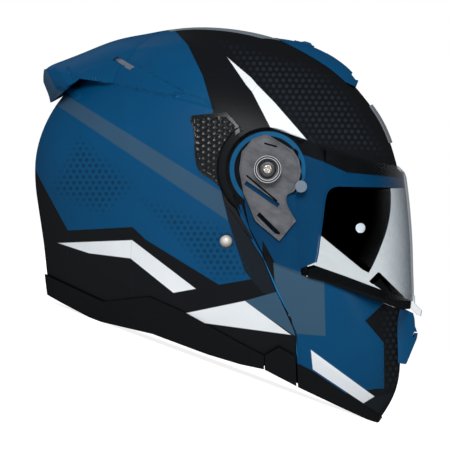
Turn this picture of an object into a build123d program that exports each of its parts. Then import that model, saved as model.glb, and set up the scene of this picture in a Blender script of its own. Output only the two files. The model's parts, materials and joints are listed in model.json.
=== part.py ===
from build123d import *
import functools
import math
import os

# Modular motorcycle helmet, in millimetres.
# It is drawn as worn: +X forward, -Y to the rider's right, +Z up, with the chin bar's hinge axis at
# the origin along Y. The last step tips it back on its rear edge and chin, as it stands on a table.

# Whole helmet
span = 328.0
half_width = 124.3
skin_round_share = 2.15
visor_round_share = 2.7
visor_side_share = 2.3
foot_flat = 0.6

# Walls
shell_wall = 3.6
chin_wall = 3.2
visor_wall = 2.2
lens_wall = 2.0
trim_depth = 9.0
trim_proud = 2.2
chin_foam = 20.0
crown_pad_wall = 8.0
panel_wall = 1.2
seam_gap = 0.6
soft_gap = 0.4
cut_over = 40.0
skin_play = 0.12

# Hinge stack, measured out from the middle of the helmet along the hinge axis
floor_depth = 10.4
floor_wall = 2.6
arm_play = 0.4
arm_wall = 2.5
plate_play = 0.2
plate_wall = 2.8
visor_proud = 2.5
hub_play = 0.1
pod_radius = 33.0
pod_step = 1.0
dish_radius = 41.0
dish_reach_share = .340
dish_step = 15
arm_ring_radius = 23.0
bush_radius = 5.0
screw_radius = 2.5
screw_head_radius = 4.0
screw_head_height = 2.2
nut_plate_radius = 9.0
nut_plate_wall = 2.2
hub_radius = 10.9
hub_bore_radius = 8.6
ring_inner_radius = 9.0
ring_wall = 0.9
ring_overlap = 0.8
fit = 0.06

floor_level = half_width - floor_depth
floor_inner = floor_level - floor_wall
arm_level = floor_level + arm_play
plate_level = arm_level + arm_wall + plate_play
plate_top = plate_level + plate_wall
visor_half = half_width + visor_proud
hub_top = visor_half + hub_play

# Side view, in shares of the span from the hinge axis: forward, up
seam_shares = [(-.0580, -.1500), (-.0125, -.2200), (.0225, -.3050), (.0575, -.3700),
               (.0685, -.4100), (.0700, -.4650)]
seam_head_share = (-.0860, -.0650)
lip_shares = [(.0040, -.2600), (.0400, -.2550), (.0825, -.2450), (.1175, -.2300)]
eye_side_shares = [(.1175, -.2300), (.1225, -.2075), (.1400, -.0700)]
eye_corner_shares = [(.1400, -.0700), (.1480, -.0480), (.1825, -.0385)]
eye_top_shares = [(.1825, -.0385), (.3050, -.0400), (.4500, -.0400)]
trim_line_shares = [(-.6200, -.2350), (-.5800, -.2510), (-.4075, -.3280), (-.2925, -.3150),
                    (-.2025, -.3550), (-.0675, -.4300), (-.0085, -.4610)]
trim_foot_shares = [(-.0085, -.4950), (-.0675, -.4825), (-.1500, -.4575), (-.2850, -.4075),
                    (-.4275, -.3750), (-.5615, -.3075), (-.6300, -.2500)]
cap_shares = [(-.0070, -.4600), (.0275, -.4400), (.0690, -.4625), (.0715, -.5370), (-.0070, -.4960)]
chin_top_shares = [(.4300, -.3490), (.3475, -.3490), (.3250, -.3465), (.2900, -.3325),
                   (.1400, -.2775), (.1000, -.2675), (.0225, -.2375), (-.0075, -.2225),
                   (-.0455, -.1550), (-.0745, -.0900)]
chin_trim_shares = [(.0740, -.4810), (.0825, -.4840), (.1075, -.4965), (.2388, -.5860),
                    (.2750, -.6090), (.3325, -.6500)]
chin_trim_foot_shares = [(.4300, -.6360), (.2700, -.6330), (.0830, -.5430), (.0760, -.5395)]
rear_foot_share = (-.4275, -.3750)
chin_foot_share = (.2700, -.6330)

# Outlines about the hinge axis: degrees up from straight ahead, radius in shares of the span
skin_shares = [(-90, .780), (-75, .750), (-66, .690), (-60, .645), (-55, .585), (-50, .520),
               (-45, .484), (-38, .452), (-29, .408), (-19, .372), (-9, .348), (2, .328), (13, .318),
               (24, .312), (37, .306), (52, .309), (70, .3165), (86, .3325), (99, .355), (111, .385),
               (121, .417), (131, .452), (141, .486), (152, .520), (164, .558), (177, .582),
               (188, .582), (198, .590), (208, .622), (220, .675), (235, .728), (252, .768)]
visor_shares = [(-110, .600), (-90, .675), (-75, .675), (-60, .620), (-50, .550), (-41, .490),
                (-35, .450), (-29, .420), (-19, .384), (-9, .361), (-2, .351), (8, .345), (30, .340),
                (60, .340), (100, .340), (150, .340), (180, .350), (210, .410), (230, .500)]
spoiler_shares = [(-150, .46), (-90, .40), (-30, .30), (30, .28), (80, .30), (100, .335), (112, .377),
                  (121, .416), (131, .456), (139, .500), (147, .546), (152, .585), (156, .612),
                  (161, .575), (167, .556), (180, .540)]
slice_shares = [1, .99, .96, .9, .82, .72, .6, .45, .3, .12]


def at(shares, forward=0, up=0):
    """Side-view points in millimetres from shares of the span, moved forward and up."""
    return [(x * span + forward, z * span + up) for x, z in shares]


def dome(table, half, drop=0, rounds=(skin_round_share, skin_round_share)):
    """A closed rounded body about the hinge axis.

    Across the helmet the side-view outline shrinks towards the axis as a superellipse. The whole
    body lies the drop inside the outline, and outside it where the drop is negative."""
    radial, side = rounds
    reach = half - drop
    steps = [(reach * (1 - f**radial)**(1 / side), f) for f in slice_shares]
    slices = [(-y, f) for y, f in reversed(steps[1:])] + steps
    wires = []
    for y, f in slices:
        ring = []
        for angle, share in table:
            turn = math.radians(angle)
            radius = (share * span - drop) * f
            ring.append((radius * math.cos(turn), y, radius * math.sin(turn)))
        wires.append(Wire([Edge.make_spline(ring, periodic=True)]))
    return Solid.make_loft(wires)


@functools.cache
def skin(drop=0):
    """The painted outer form, or a copy of it the drop further in."""
    return dome(skin_shares, half_width, drop)


@functools.cache
def visor_skin(drop=0):
    """The visor's outer form, or a copy of it the drop further in."""
    return dome(visor_shares, visor_half, drop, (visor_round_share, visor_side_share))


def side_face(*runs):
    """A flat face in the side view, closed round its runs. A run is (bent, points)."""
    edges = []
    corners = []
    for bent, points in runs:
        places = [Vector(x, 0, z) for x, z in points]
        if corners and (places[0] - corners[-1]).length > skin_play:
            edges.append(Edge.make_line(corners[-1], places[0]))
        elif corners:
            places[0] = corners[-1]
        if bent:
            edges.append(Edge.make_spline(places))
        else:
            edges += [Edge.make_line(a, b) for a, b in zip(places, places[1:])]
        corners += places
    if (corners[0] - corners[-1]).length > skin_play:
        edges.append(Edge.make_line(corners[-1], corners[0]))
    return Face(Wire(edges))


def through(face, low=-2 * half_width, high=2 * half_width):
    """The side-view face carried across the helmet from low to high."""
    return Solid.extrude(Pos(0, low, 0) * face, Vector(0, high - low, 0))


def both_sides(face, low, high):
    """The side-view face carried out on both sides, from low to high off the middle."""
    return through(face, low, high) + through(face, -high, -low)


def disc(radius, low, high, centre=(0, 0)):
    """A round plate or hole across the helmet, from low to high."""
    middle = (low + high) / 2
    turned = Rot(90, 0, 0) * Cylinder(radius, abs(high - low))
    return Pos(centre[0], middle, centre[1]) * turned


def mirrored(solid):
    """The same piece on the rider's left."""
    return mirror(solid, about=Plane.XZ)


def sector(points):
    """A straight-sided side-view region."""
    return side_face((False, points))


# Frames of the side view
far = 1.4 * span
shell_region = side_face(
    (False, [(-far, far), (far, far), (far, eye_top_shares[-1][1] * span)]),
    (False, at(reversed(eye_top_shares))),
    (True, at(reversed(eye_corner_shares))),
    (False, at(reversed(eye_side_shares))),
    (False, at(reversed(lip_shares))),
    (False, at(seam_shares[2:])),
    (False, at([cap_shares[2], cap_shares[1], cap_shares[0]], 0, skin_play)),
    (False, at(reversed(trim_line_shares), 0, skin_play)),
    (False, [(-far, trim_line_shares[0][1] * span)]))
recess_reach_share = .30
recess_top_share = (.1420, .1050)
recess_points = at([seam_head_share] + seam_shares[:4] + [(recess_reach_share, -.3700),
                   (recess_reach_share, recess_top_share[1]), recess_top_share, (.0500, .0500)])
recess_region = sector(recess_points)


def hinge_recess(level, grow):
    """What is cut away outside the level, round the hinge and in front of the seam."""
    pod = disc(pod_radius + pod_step + grow, -2 * half_width, 2 * half_width)
    front = through(sector([(x - grow, z) for x, z in recess_points]))
    slab = Box(2 * far, 2 * level, 2 * far)
    return (pod + front) - slab


def pod_dish(drop):
    """What is cut away round each pod, so that the visor's upper corner swings past."""
    ring = [(angle, dish_reach_share) for angle in range(0, 360, dish_step)]
    form = dome(ring, visor_half, visor_wall + drop, (visor_round_share, visor_side_share))
    return disc(dish_radius, -2 * half_width, 2 * half_width) - form


def bounded(outer, inner, region):
    """The wall between two forms, kept inside a side-view region."""
    return (outer & through(region)) - inner


outer_skin = skin()
inner_skin = skin(shell_wall)
chin_inner = skin(chin_wall)
nodes = {}


def pair(name, solid):
    """A piece on the rider's right and its mirror image on the left."""
    nodes[name + "_right"] = solid
    nodes[name + "_left"] = mirrored(solid)


# Outer shell
strap_rivet_share = (-.1018, -.1783)
rivet_radius = 5.3
rivet_shank_radius = 2.5
rivet_head_height = 2.8
rivet_seat_radius = 6.3
rivet_seat_depth = 0.8
rivet_foot_radius = 4.5
rivet_foot_height = 1.5


def on_skin(shares, drop=0):
    """How far off the middle the skin lies at a side-view place."""
    radius = math.hypot(*shares) * span
    angle = math.degrees(math.atan2(shares[1], shares[0]))
    table = skin_shares + [(skin_shares[0][0] + 360, skin_shares[0][1])]
    angle = angle if angle >= table[0][0] else angle + 360
    for (a, r), (b, s) in zip(table, table[1:]):
        if a <= angle <= b:
            reach = (r + (s - r) * (angle - a) / (b - a)) * span - drop
    fall = (radius / reach) ** skin_round_share
    return (half_width - drop) * (1 - fall) ** (1 / skin_round_share)


rivet_centre = at([strap_rivet_share])[0]
rivet_seat = on_skin(strap_rivet_share) - rivet_seat_depth


def polar(places):
    """Side-view points from degrees about the hinge axis and radii in shares of the span."""
    return [(r * span * math.cos(math.radians(a)), r * span * math.sin(math.radians(a))) for a, r in places]


# Track of the top vent's slide, let into the crown
track_half = 9.0
track_angles = (63, 70, 77, 85)
track_floor_share = .3235
track_out_share = .3600
track_ring = polar([(a, track_floor_share) for a in track_angles]
                   + [(track_angles[-1], track_out_share), (track_angles[0], track_out_share)])
vent_track = through(sector(track_ring), -track_half, track_half)


def outer_shell():
    """The painted shell, stepped in round the hinge, with its holes and the top vent's track."""
    outer_form = outer_skin - hinge_recess(floor_level, 0) - pod_dish(soft_gap)
    inner_form = inner_skin - hinge_recess(floor_inner, shell_wall)
    shell = (outer_form & through(shell_region)) - inner_form - vent_track
    for side in (-1, 1):
        shell -= disc(screw_radius + fit, side * floor_inner / 2, side * half_width)
        shell -= disc(rivet_shank_radius + fit, side * floor_inner / 2, side * half_width, rivet_centre)
        shell -= disc(rivet_seat_radius, side * rivet_seat, side * 2 * half_width, rivet_centre)
    return shell


nodes["outer_shell"] = outer_shell()

# Sun visor sizes come first, because the foam leaves its pocket
lens_axis_share = (.0450, -.0750)
lens_reach_share = .2675
lens_play = 0.5
lens_gap = 1.0
lens_pin_radius = 2.5
lens_pin_head_radius = 5.0
lens_pin_head_wall = 1.4
lens_boss_radius = 8.0
lens_outline_shares = [(.0350, -.0950), (.1300, -.1560), (.2440, -.2510), (.2650, -.2620),
                       (.3600, -.2620), (.3600, .0450), (.1700, .0500), (.0600, -.0450)]
lens_ring_shares = [(-60, .286), (-40, .279), (-28, .2700), (-15, .2675), (0, .2675), (30, .2675),
                    (90, .2675), (180, .2675), (240, .280)]
lens_lift = 40
nose_half = 20.0
nose_top_share = -.2250
lens_centre = at([lens_axis_share])[0]
lens_half = floor_inner - lens_play


def lens_form(drop=0, lift=0):
    """The sun visor's outer form about its own axis, or a copy the drop further in and lifted."""
    form = dome(lens_ring_shares, lens_half, drop, (visor_round_share, visor_side_share))
    return Pos(lens_centre[0], 0, lens_centre[1]) * Rot(0, -lift, 0) * form


def swing_region(reach, low, high, steps=9):
    """A side-view fan about the sun visor's axis, from one angle to another."""
    fan = [lens_centre]
    for step in range(steps + 1):
        turn = math.radians(low + (high - low) * step / steps)
        fan.append((lens_centre[0] + reach * math.cos(turn), lens_centre[1] + reach * math.sin(turn)))
    return sector(fan)


# Head space, an egg about the head's middle with a neck below it
head_centre_share = (-.1500, -.0380)
head_long_share = .3400
head_wide = 88.0
head_high = 104.0
head_level_shares = [(.985, .10), (.94, .32), (.84, .53), (.70, .70), (.50, .855), (.25, .955),
                     (0, 1), (-.35, .985), (-.80, .93), (-1.5, .86)]
ring_points = 24


def head_space(shrink=0):
    """The hollow in the foam for the head, or a smaller copy for the pads' inner faces."""
    x, z = at([head_centre_share])[0]
    long = head_long_share * span - shrink
    wide = head_wide - shrink
    wires = []
    for up, size in head_level_shares:
        high = head_high - shrink if up > 0 else head_high
        ring = []
        for step in range(ring_points):
            turn = 2 * math.pi * step / ring_points
            ring.append((x + long * size * math.cos(turn), wide * size * math.sin(turn), z + high * up))
        wires.append(Wire([Edge.make_spline(ring, periodic=True)]))
    return Solid.make_loft(wires)


# Foam liner
liner_gap = 0.4
pocket_low, pocket_high = -88, 91
pocket_root_reach_share = .0850
pocket_root_high = 109
cheek_outer = 96.0
cheek_block_wall = 7.0
cheek_block_shares = [(-.1200, -.1000), (.0850, -.1000), (.0850, -.3000), (.0300, -.3600), (-.1200, -.3600)]
liner_foot_shares = [(.3100, -.0330), (.1900, -.0310), (.1380, -.0420), (.1150, -.0900),
                     (.0900, -.1300), (-.1250, -.1420), (-.1700, -.2100), (-.3600, -.2450),
                     (-.4300, -.2350), (-.6500, -.1700)]


def eps_liner():
    """The impact foam with its cheek blocks, the sun visor's pocket and the head's hollow."""
    drop = shell_wall + liner_gap
    region = side_face((False, [(-far, far), (far, far), (far, liner_foot_shares[0][1] * span)]),
                       (False, at(liner_foot_shares)),
                       (False, [(-far, liner_foot_shares[-1][1] * span)]))
    foam = skin(drop) - hinge_recess(floor_inner - liner_gap, drop)
    foam = foam & through(region)
    block_level = cheek_outer + liner_gap
    blocks = both_sides(sector(at(cheek_block_shares)), block_level, block_level + cheek_block_wall)
    foam += skin(drop) & blocks
    reach = lens_reach_share * span + cut_over
    boss = disc(lens_boss_radius + 3 * lens_gap, -half_width, half_width, lens_centre)
    root = swing_region(pocket_root_reach_share * span, pocket_high, pocket_root_high)
    pocket = through(swing_region(reach, pocket_low, pocket_high)) + through(root) + boss
    foam -= pocket - lens_form(lens_wall + lens_gap)
    for side in (-1, 1):
        foam -= disc(nut_plate_radius + soft_gap, side * (floor_inner - nut_plate_wall - soft_gap),
                     side * half_width)
        foam -= disc(lens_pin_head_radius + lens_gap,
                     side * (lens_half - lens_wall - 2 * lens_pin_head_wall - lens_gap),
                     side * half_width, lens_centre)
    return foam - head_space()


nodes["eps_liner"] = eps_liner()

# Soft lining
pad_foot_share = -.0900
cheek_centre_share = (-.0250, -.2700)
cheek_ring_shares = [(-.1180, .0950), (-.0400, .1120), (.0700, .1140), (.1230, .0700), (.1230, -.0100),
                     (.0950, -.0850), (.0200, -.1080), (-.0700, -.1050), (-.1200, -.0600),
                     (-.1300, .0300)]
cheek_inner = 62.0
cheek_crown_shares = [(0, .62), (.06, .78), (.16, .90), (.32, .975), (.60, 1), (.85, .985), (1, .93)]
roll_top_shares = [(-.6500, -.1750), (-.4300, -.2400), (-.3600, -.2500), (-.1780, -.2180)]
roll_foot_shares = [(-.1780, -.3450), (-.2025, -.3430), (-.2925, -.3030), (-.4075, -.3160),
                    (-.5800, -.2400), (-.6500, -.2180)]
roll_wall = 20.0


def crown_pad():
    """The padded cap that lines the head space above the ears."""
    x, z = at([head_centre_share])[0]
    cap = head_space(soft_gap) - head_space(soft_gap + crown_pad_wall)
    height = 2 * head_high
    keep = Pos(x, 0, z + pad_foot_share * span + height / 2) * Box(2 * far, 2 * half_width, height)
    front = through(sector(at([(.3000, .0300), (.0700, .0300), (.0700, -.2500), (.3000, -.2500)])))
    return (cap & keep) - front


def cheek_pad():
    """One crowned pad beside the jaw, fuller in its middle than at its two faces."""
    centre = at([cheek_centre_share])[0]
    wires = []
    for depth, size in cheek_crown_shares:
        y = -(cheek_inner + (cheek_outer - cheek_inner) * depth)
        ring = [(centre[0] + x * size, y, centre[1] + z * size) for x, z in at(cheek_ring_shares)]
        wires.append(Wire([Edge.make_spline(ring, periodic=True)]))
    return Solid.make_loft(wires)


nodes["crown_pad"] = crown_pad()
pair("cheek_pad", cheek_pad())
roll_form = skin(shell_wall + 2 * soft_gap) - skin(shell_wall + roll_wall)
nodes["neck_roll"] = roll_form & through(sector(at(roll_top_shares + roll_foot_shares)))

# Lower edge
cap_proud = 3.4


def base_trim():
    """The moulded edge round the neck opening."""
    region = side_face((False, at(trim_line_shares)), (False, at(trim_foot_shares)))
    return (skin(-trim_proud) & through(region)) - skin(trim_depth)


def trim_end_cap():
    """The six-sided end of the edge beside the chin bar."""
    region = side_face((False, at(cap_shares, skin_play)))
    return (skin(-cap_proud) & through(region, -half_width - cap_proud, -skin_play)) - skin(trim_depth)


nodes["base_trim"] = base_trim()
pair("trim_end_cap", trim_end_cap())

# Window seal
seal_inner = 4.6
seal_gap = 0.5
seal_lip = 1.4
sweep_region = sector(at([(-.1400, -.0400), (-.0600, -.2600), (.0200, -.3000), (.3000, -.3000),
                          (.3000, .1400), (.1600, .1150), (.0900, .1000)]))
seal_edge_shares = [(.4500, -.0150), (.3450, -.0170), (.3270, .0020), (.2600, .0120), (.1825, .0380),
                    (.1450, .0500), (.1420, -.0200), (.1300, -.0700), (.1100, -.2075), (.1050, -.2300)]


def window_seal():
    """The rubber round the top and rear of the eye opening, an outer flange and a lip on the edge."""
    def region(grow):
        return side_face((False, at(seal_edge_shares)), (False, at(eye_side_shares, grow)),
                         (True, at(eye_corner_shares, grow, -grow)),
                         (False, at(eye_top_shares, 0, -grow)))
    whole = (visor_skin(visor_wall + seal_gap) & through(region(seal_lip))) - skin(seal_inner)
    whole -= skin(-skin_play) & through(region(skin_play))
    whole -= lens_form(-soft_gap, lens_lift)
    return whole - both_sides(sweep_region, floor_level + skin_play, 2 * half_width)


nodes["window_seal"] = window_seal()

# Side panel
panel_top_shares = [(-.1912, .1225), (-.1880, .1325), (-.0988, .1413), (-.0600, .0960)]
panel_arc_shares = [(-.0600, .0960), (-.0870, .0760), (-.1080, .0390), (-.1140, -.0050),
                    (-.1075, -.0460), (-.0940, -.0720)]
panel_tip_shares = [(-.0370, -.1700), (-.0390, -.1745), (-.1100, -.0750)]
panel_rear_shares = [(-.1100, -.0750), (-.1475, -.0200), (-.1625, -.0100), (-.1800, .0425),
                     (-.1912, .1225)]


def side_panel():
    """The thin ribbed cover behind the pod."""
    region = side_face((False, at(panel_top_shares)), (True, at(panel_arc_shares)),
                       (False, at(panel_tip_shares)), (True, at(panel_rear_shares)))
    cover = (skin(-panel_wall) & through(region, -2 * half_width, 0)) - skin(-skin_play)
    return cover - pod_dish(0)


pair("side_panel", side_panel())

# Chin bar
root_shares = [(-.0720, -.0870), (-.0580, -.1500), (-.0125, -.2200), (.0225, -.3050),
               (.0900, -.3050), (.0900, -.2650), (.0225, -.2375), (-.0075, -.2225),
               (-.0425, -.1550), (-.0640, -.0870)]
arm_shares = [(-.0640, -.0250), (-.0560, -.1000), (-.0460, -.1450), (-.0075, -.2200),
              (.0225, -.2950), (.0850, -.2950), (.0780, -.2300), (.0650, -.0400)]


def chin_region():
    """The chin bar's side outline below the visor."""
    rear = at(seam_shares, seam_gap)
    return side_face((False, rear), (False, at(chin_trim_shares[:1], 0, skin_play)),
                     (False, at(chin_trim_shares[1:], 0, skin_play)),
                     (False, at([(.4300, -.6500)])), (False, at(chin_top_shares)))


def chin_bar():
    """The flip-up front, one moulding with both hinge arms."""
    region = chin_region()
    front = (outer_skin & through(region)) - chin_inner
    root = sector(at(root_shares[:4], seam_gap) + at(root_shares[4:]))
    fill = outer_skin & both_sides(root, arm_level, 2 * half_width)
    arm = sector(at(arm_shares, seam_gap))
    plates = outer_skin & both_sides(arm, arm_level, arm_level + arm_wall)
    bar = front + fill + plates
    for side in (-1, 1):
        bar += disc(arm_ring_radius, side * arm_level, side * (arm_level + arm_wall))
        bar -= disc(bush_radius + fit, side * floor_level, side * half_width)
    return bar


nodes["chin_bar"] = chin_bar()


# Release button under the chin, with its guide and spring
button_half = 15.0
button_travel = 4.0
button_proud = 1.5
button_shares = [(.2400, -.6130), (.2680, -.6230), (.2680, -.5930), (.2400, -.5930)]
housing_wall = 1.6
spring_high = 2.0
spring_radius = 3.0
spring_wire = 0.8
(button_rear, button_foot), (button_front, _), (_, button_head), _ = at(button_shares)
housing_gap = soft_gap + housing_wall
housing_head = button_head + button_travel + spring_high + housing_wall


def button_column(grow, low, high):
    """An upright block round the button, grown on its four sides."""
    face = sector([(button_rear - grow, low), (button_front + grow, low),
                   (button_front + grow, high), (button_rear - grow, high)])
    return through(face, -button_half - grow, button_half + grow)


def button_housing():
    """The guide round the button, let into the lower edge of the chin bar."""
    outer = button_column(housing_gap, button_foot + button_proud, housing_head)
    inner = button_column(soft_gap, -far, housing_head - housing_wall)
    return (outer - inner) & skin(chin_wall + skin_play)


def button_spring():
    """The small spring stack above the button, at its pressed height."""
    bore = Cylinder(spring_radius - spring_wire, spring_high)
    ring = Cylinder(spring_radius, spring_high - skin_play) - bore
    level = button_head + button_travel + spring_high / 2
    return Pos((button_rear + button_front) / 2, 0, level) * ring


pressed_face = sector(at(button_shares, 0, button_travel))
nodes["release_button"] = through(pressed_face, -button_half, button_half)
nodes["button_housing"] = button_housing()
nodes["button_spring"] = button_spring()


def chin_bar_trim():
    """The moulded lower edge of the chin bar, notched for the release button."""
    region = side_face((False, at(chin_trim_shares)), (False, at(chin_trim_foot_shares)))
    edge = (skin(-trim_proud / 2) & through(region)) - skin(trim_depth)
    return edge - button_column(housing_gap + skin_play, -far, housing_head + skin_play)


nodes["chin_bar_trim"] = chin_bar_trim()

chin_foam_shares = [(.1600, -.2950), (.2900, -.3450), (.3350, -.3600), (.4300, -.3600),
                    (.4300, -.5900), (.3000, -.5750), (.2500, -.5350), (.1750, -.4950),
                    (.1600, -.4500)]
nodes["chin_bar_liner"] = bounded(skin(chin_wall + liner_gap), skin(chin_wall + liner_gap + chin_foam),
                                  side_face((False, at(chin_foam_shares))))

# Visor
visor_edge_low_shares = [(-.0990, -.0250), (-.0850, -.0600), (-.0125, -.2130), (.0225, -.2300),
                         (.1000, -.2590), (.2900, -.3200), (.3680, -.3290), (.4300, -.3290)]
visor_top_shares = [(.4300, -.0165), (.3500, -.0170), (.3450, -.0060), (.3275, .0095), (.2600, .0175),
                    (.1825, .0460), (.0975, .0720)]
visor_pod_shares = [(.0975, .0720), (.0600, .0890), (.0075, .1005), (-.0500, .0870), (-.0870, .0500),
                    (-.1005, .0000), (-.0990, -.0250)]
tab_shares = [(.3500, -.3150), (.3720, -.3150), (.3725, -.3350), (.3900, -.3525), (.3875, -.3665),
              (.3790, -.3640), (.3640, -.3480), (.3500, -.3400)]
tab_half = 14.0


def visor():
    """The clear visor with its round pods and its finger tab."""
    region = side_face((False, at(visor_edge_low_shares)), (False, at(visor_top_shares)),
                       (True, at(visor_pod_shares)))
    shield = (visor_skin() & through(region)) + through(sector(at(tab_shares)), -tab_half, tab_half)
    shield -= visor_skin(visor_wall)
    for side in (-1, 1):
        shield -= disc(hub_radius + fit, side * floor_level, side * 2 * half_width)
    return shield


nodes["visor"] = visor()

# Sun visor
def sun_visor():
    """The dark drop-down lens with its two side arms."""
    outline = sector(at(lens_outline_shares))
    solid_region = through(outline) + disc(lens_boss_radius, -half_width, half_width, lens_centre)
    lens = (lens_form() & solid_region) - lens_form(lens_wall)
    nose_floor = -far
    nose = Face(Wire([Edge.make_line(a, b) for a, b in (
        ((0, -nose_half, nose_floor), (0, nose_half, nose_floor)),
        ((0, nose_half, nose_floor), (0, nose_half / 2, nose_top_share * span)),
        ((0, nose_half / 2, nose_top_share * span), (0, -nose_half / 2, nose_top_share * span)),
        ((0, -nose_half / 2, nose_top_share * span), (0, -nose_half, nose_floor)))]))
    lens -= Solid.extrude(nose, Vector(far, 0, 0))
    for side in (-1, 1):
        lens -= disc(lens_pin_radius + fit, side * head_wide, side * half_width, lens_centre)
    return lens


nodes["sun_visor"] = sun_visor()

# Visor mechanism on each arm
plate_outline_shares = [(-.0375, .0750), (-.0025, .0875), (.0300, .0675), (.0625, .0475),
                        (.0775, .0250), (.0825, -.0050), (.0750, -.0400), (.0650, -.0550),
                        (.0440, -.0650), (.0440, -.0850), (.0700, -.1275), (.0288, -.1775),
                        (-.0300, -.1275), (-.0600, -.0575), (-.0700, 0), (-.0638, .0425)]
detent_radius_share = .0880
detent_size = 1.6
detent_first, detent_step, detents = -34, 13, 6
slot_shares = [((-.0550, -.0330), (.0275, -.0900)), ((-.0230, -.1100), (.0270, -.1600))]
slot_wide = 3.6
washer_radius = 7.0
washer_wall = 0.7
socket_radius = 2.2


def visor_base_plate():
    """The clear grey plate that the visor turns on, with its hub, detents and lightening slots."""
    plate = through(sector(at(plate_outline_shares)), -plate_top, -plate_level)
    for step in range(detents):
        turn = math.radians(detent_first + detent_step * step)
        reach = detent_radius_share * span
        centre = (reach * math.cos(turn), reach * math.sin(turn))
        plate -= disc(detent_size, -plate_top - fit, -plate_level + fit, centre)
    for a, b in slot_shares:
        (ax, az), (bx, bz) = at([a, b])
        length = math.hypot(bx - ax, bz - az)
        bar = Box(length, plate_wall * 2, slot_wide)
        lean = math.degrees(math.atan2(bz - az, bx - ax))
        middle = ((ax + bx) / 2, -(plate_level + plate_top) / 2, (az + bz) / 2)
        plate -= Pos(*middle) * Rot(0, -lean, 0) * bar
    plate += disc(hub_radius, -hub_top, -plate_level)
    plate -= disc(hub_bore_radius, -hub_top - fit, -plate_top)
    plate -= disc(bush_radius + fit, -hub_top, -floor_level)
    return plate


def lock_ring():
    """The bright ring on the hub that keeps the visor on."""
    ring = disc(hub_radius + ring_overlap, -hub_top - ring_wall, -hub_top)
    return ring - disc(ring_inner_radius, -hub_top - 2 * ring_wall, -floor_level)


def pivot_bush():
    """The steel bush that the arm and the base plate turn on."""
    return disc(bush_radius, -plate_top, -floor_level) - disc(screw_radius + fit, -hub_top, -floor_inner)


def pivot_screw():
    """The hinge screw, with a washer face and a hexagon socket."""
    foot = floor_inner - nut_plate_wall
    screw = disc(screw_radius, -plate_top - skin_play, -foot)
    screw += disc(washer_radius, -plate_top - skin_play - washer_wall, -plate_top - skin_play)
    top = plate_top + skin_play + washer_wall + screw_head_height
    screw += disc(screw_head_radius, -top, -plate_top - skin_play)
    socket = Rot(90, 0, 0) * extrude(RegularPolygon(socket_radius, 6), screw_head_height)
    return screw - Pos(0, -top + screw_head_height, 0) * socket


def nut_plate():
    """The threaded plate inside the shell that the hinge screw pulls on."""
    level = floor_inner - nut_plate_wall
    plate = disc(nut_plate_radius, -floor_inner, -level)
    return plate - disc(screw_radius + fit, -half_width, -level / 2)


pair("visor_base_plate", visor_base_plate())
pair("visor_lock_ring", lock_ring())
pair("pivot_bush", pivot_bush())
pair("pivot_screw", pivot_screw())
pair("pivot_nut_plate", nut_plate())

# Strap rivets, strap and buckle
strap_wide = 22.0
strap_wall = 2.0
strap_path_shares = [(.9150, -.1600), (.870, -.3300), (.800, -.3850), (.450, -.4380), (.240, -.4470)]
tongue_wide = 17.0
tongue_wall = 2.4
tongue_reach_share = -.160
buckle_long = 34.0
buckle_wide = 27.0
buckle_wall = 2.2
buckle_deep = 9.0
buckle_middle = -14.0
lever_long = 27.0
lever_wall = 2.6
lever_pin_radius = 1.5


strap_middle = rivet_centre[0]
strap_level = strap_path_shares[-1][1] * span


def strap_rivet():
    """The domed rivet that holds the strap, and its foot against the strap inside."""
    (top_y, top_z), (low_y, low_z) = strap_path_shares[:2]
    lean = (top_y - low_y) * half_width / ((top_z - low_z) * span)
    strap_y = top_y * half_width - (top_z * span - rivet_centre[1]) * lean
    foot = strap_y - strap_wall / 2 - rivet_foot_radius * lean - skin_play
    base = rivet_seat + skin_play
    ball = (rivet_radius**2 + rivet_head_height**2) / (2 * rivet_head_height)
    head = Pos(rivet_centre[0], ball - base - rivet_head_height, rivet_centre[1]) * Sphere(ball)
    head = head & disc(2 * rivet_radius, -base - 2 * rivet_head_height, -base, rivet_centre)
    shank = disc(rivet_shank_radius, -base - rivet_head_height / 2, -foot, rivet_centre)
    return head + shank + disc(rivet_foot_radius, -foot, -foot + rivet_foot_height, rivet_centre)


def ribbon(points, wide, wall, middle):
    """A flat band across the helmet, through points given as off the middle and up."""
    band = None
    for (ay, az), (by, bz) in zip(points, points[1:]):
        length = math.hypot(by - ay, bz - az)
        tilt = math.degrees(math.atan2(bz - az, by - ay))
        piece = Pos(middle, (ay + by) / 2, (az + bz) / 2) * Rot(tilt, 0, 0) * Box(wide, length, wall)
        band = piece if band is None else band + piece
    for y, z in points[1:-1]:
        band += Pos(middle, y, z) * Rot(0, 90, 0) * Cylinder(wall / 2, wide)
    return band


def chin_strap(side, end):
    """Half of the strap, from its rivet to the buckle."""
    path = [(side * y * half_width, z * span) for y, z in strap_path_shares[:-1]]
    path.append((end, strap_path_shares[-1][1] * span))
    band = ribbon(path, strap_wide, strap_wall, strap_middle)
    return band - disc(rivet_shank_radius + fit, side * cheek_outer, side * half_width, rivet_centre)


buckle_low = buckle_middle - buckle_long / 2
buckle_high = buckle_middle + buckle_long / 2
tongue_end = buckle_low + 3 * buckle_wall
lever_axis = (buckle_low + 2 * buckle_wall, strap_level - tongue_wall / 2 - soft_gap - lever_wall / 2)


def lever_rod(radius, wide):
    """A round rod along the lever's axis."""
    return Pos(strap_middle, *lever_axis) * Rot(0, 90, 0) * Cylinder(radius, wide)


def buckle_body():
    """The buckle's channel, with a hole for the lever's pin."""
    roof = strap_level + tongue_wall / 2 + soft_gap + buckle_wall
    plate = Box(buckle_wide, buckle_long, buckle_wall)
    body = Pos(strap_middle, buckle_middle, roof - buckle_wall / 2) * plate
    wall = Box(buckle_wall, buckle_long, buckle_deep)
    for side in (-1, 1):
        place = strap_middle + side * (buckle_wide - buckle_wall) / 2
        body += Pos(place, buckle_middle, roof - buckle_deep / 2) * wall
    return body - lever_rod(lever_pin_radius + fit, 2 * buckle_wide)


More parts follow.
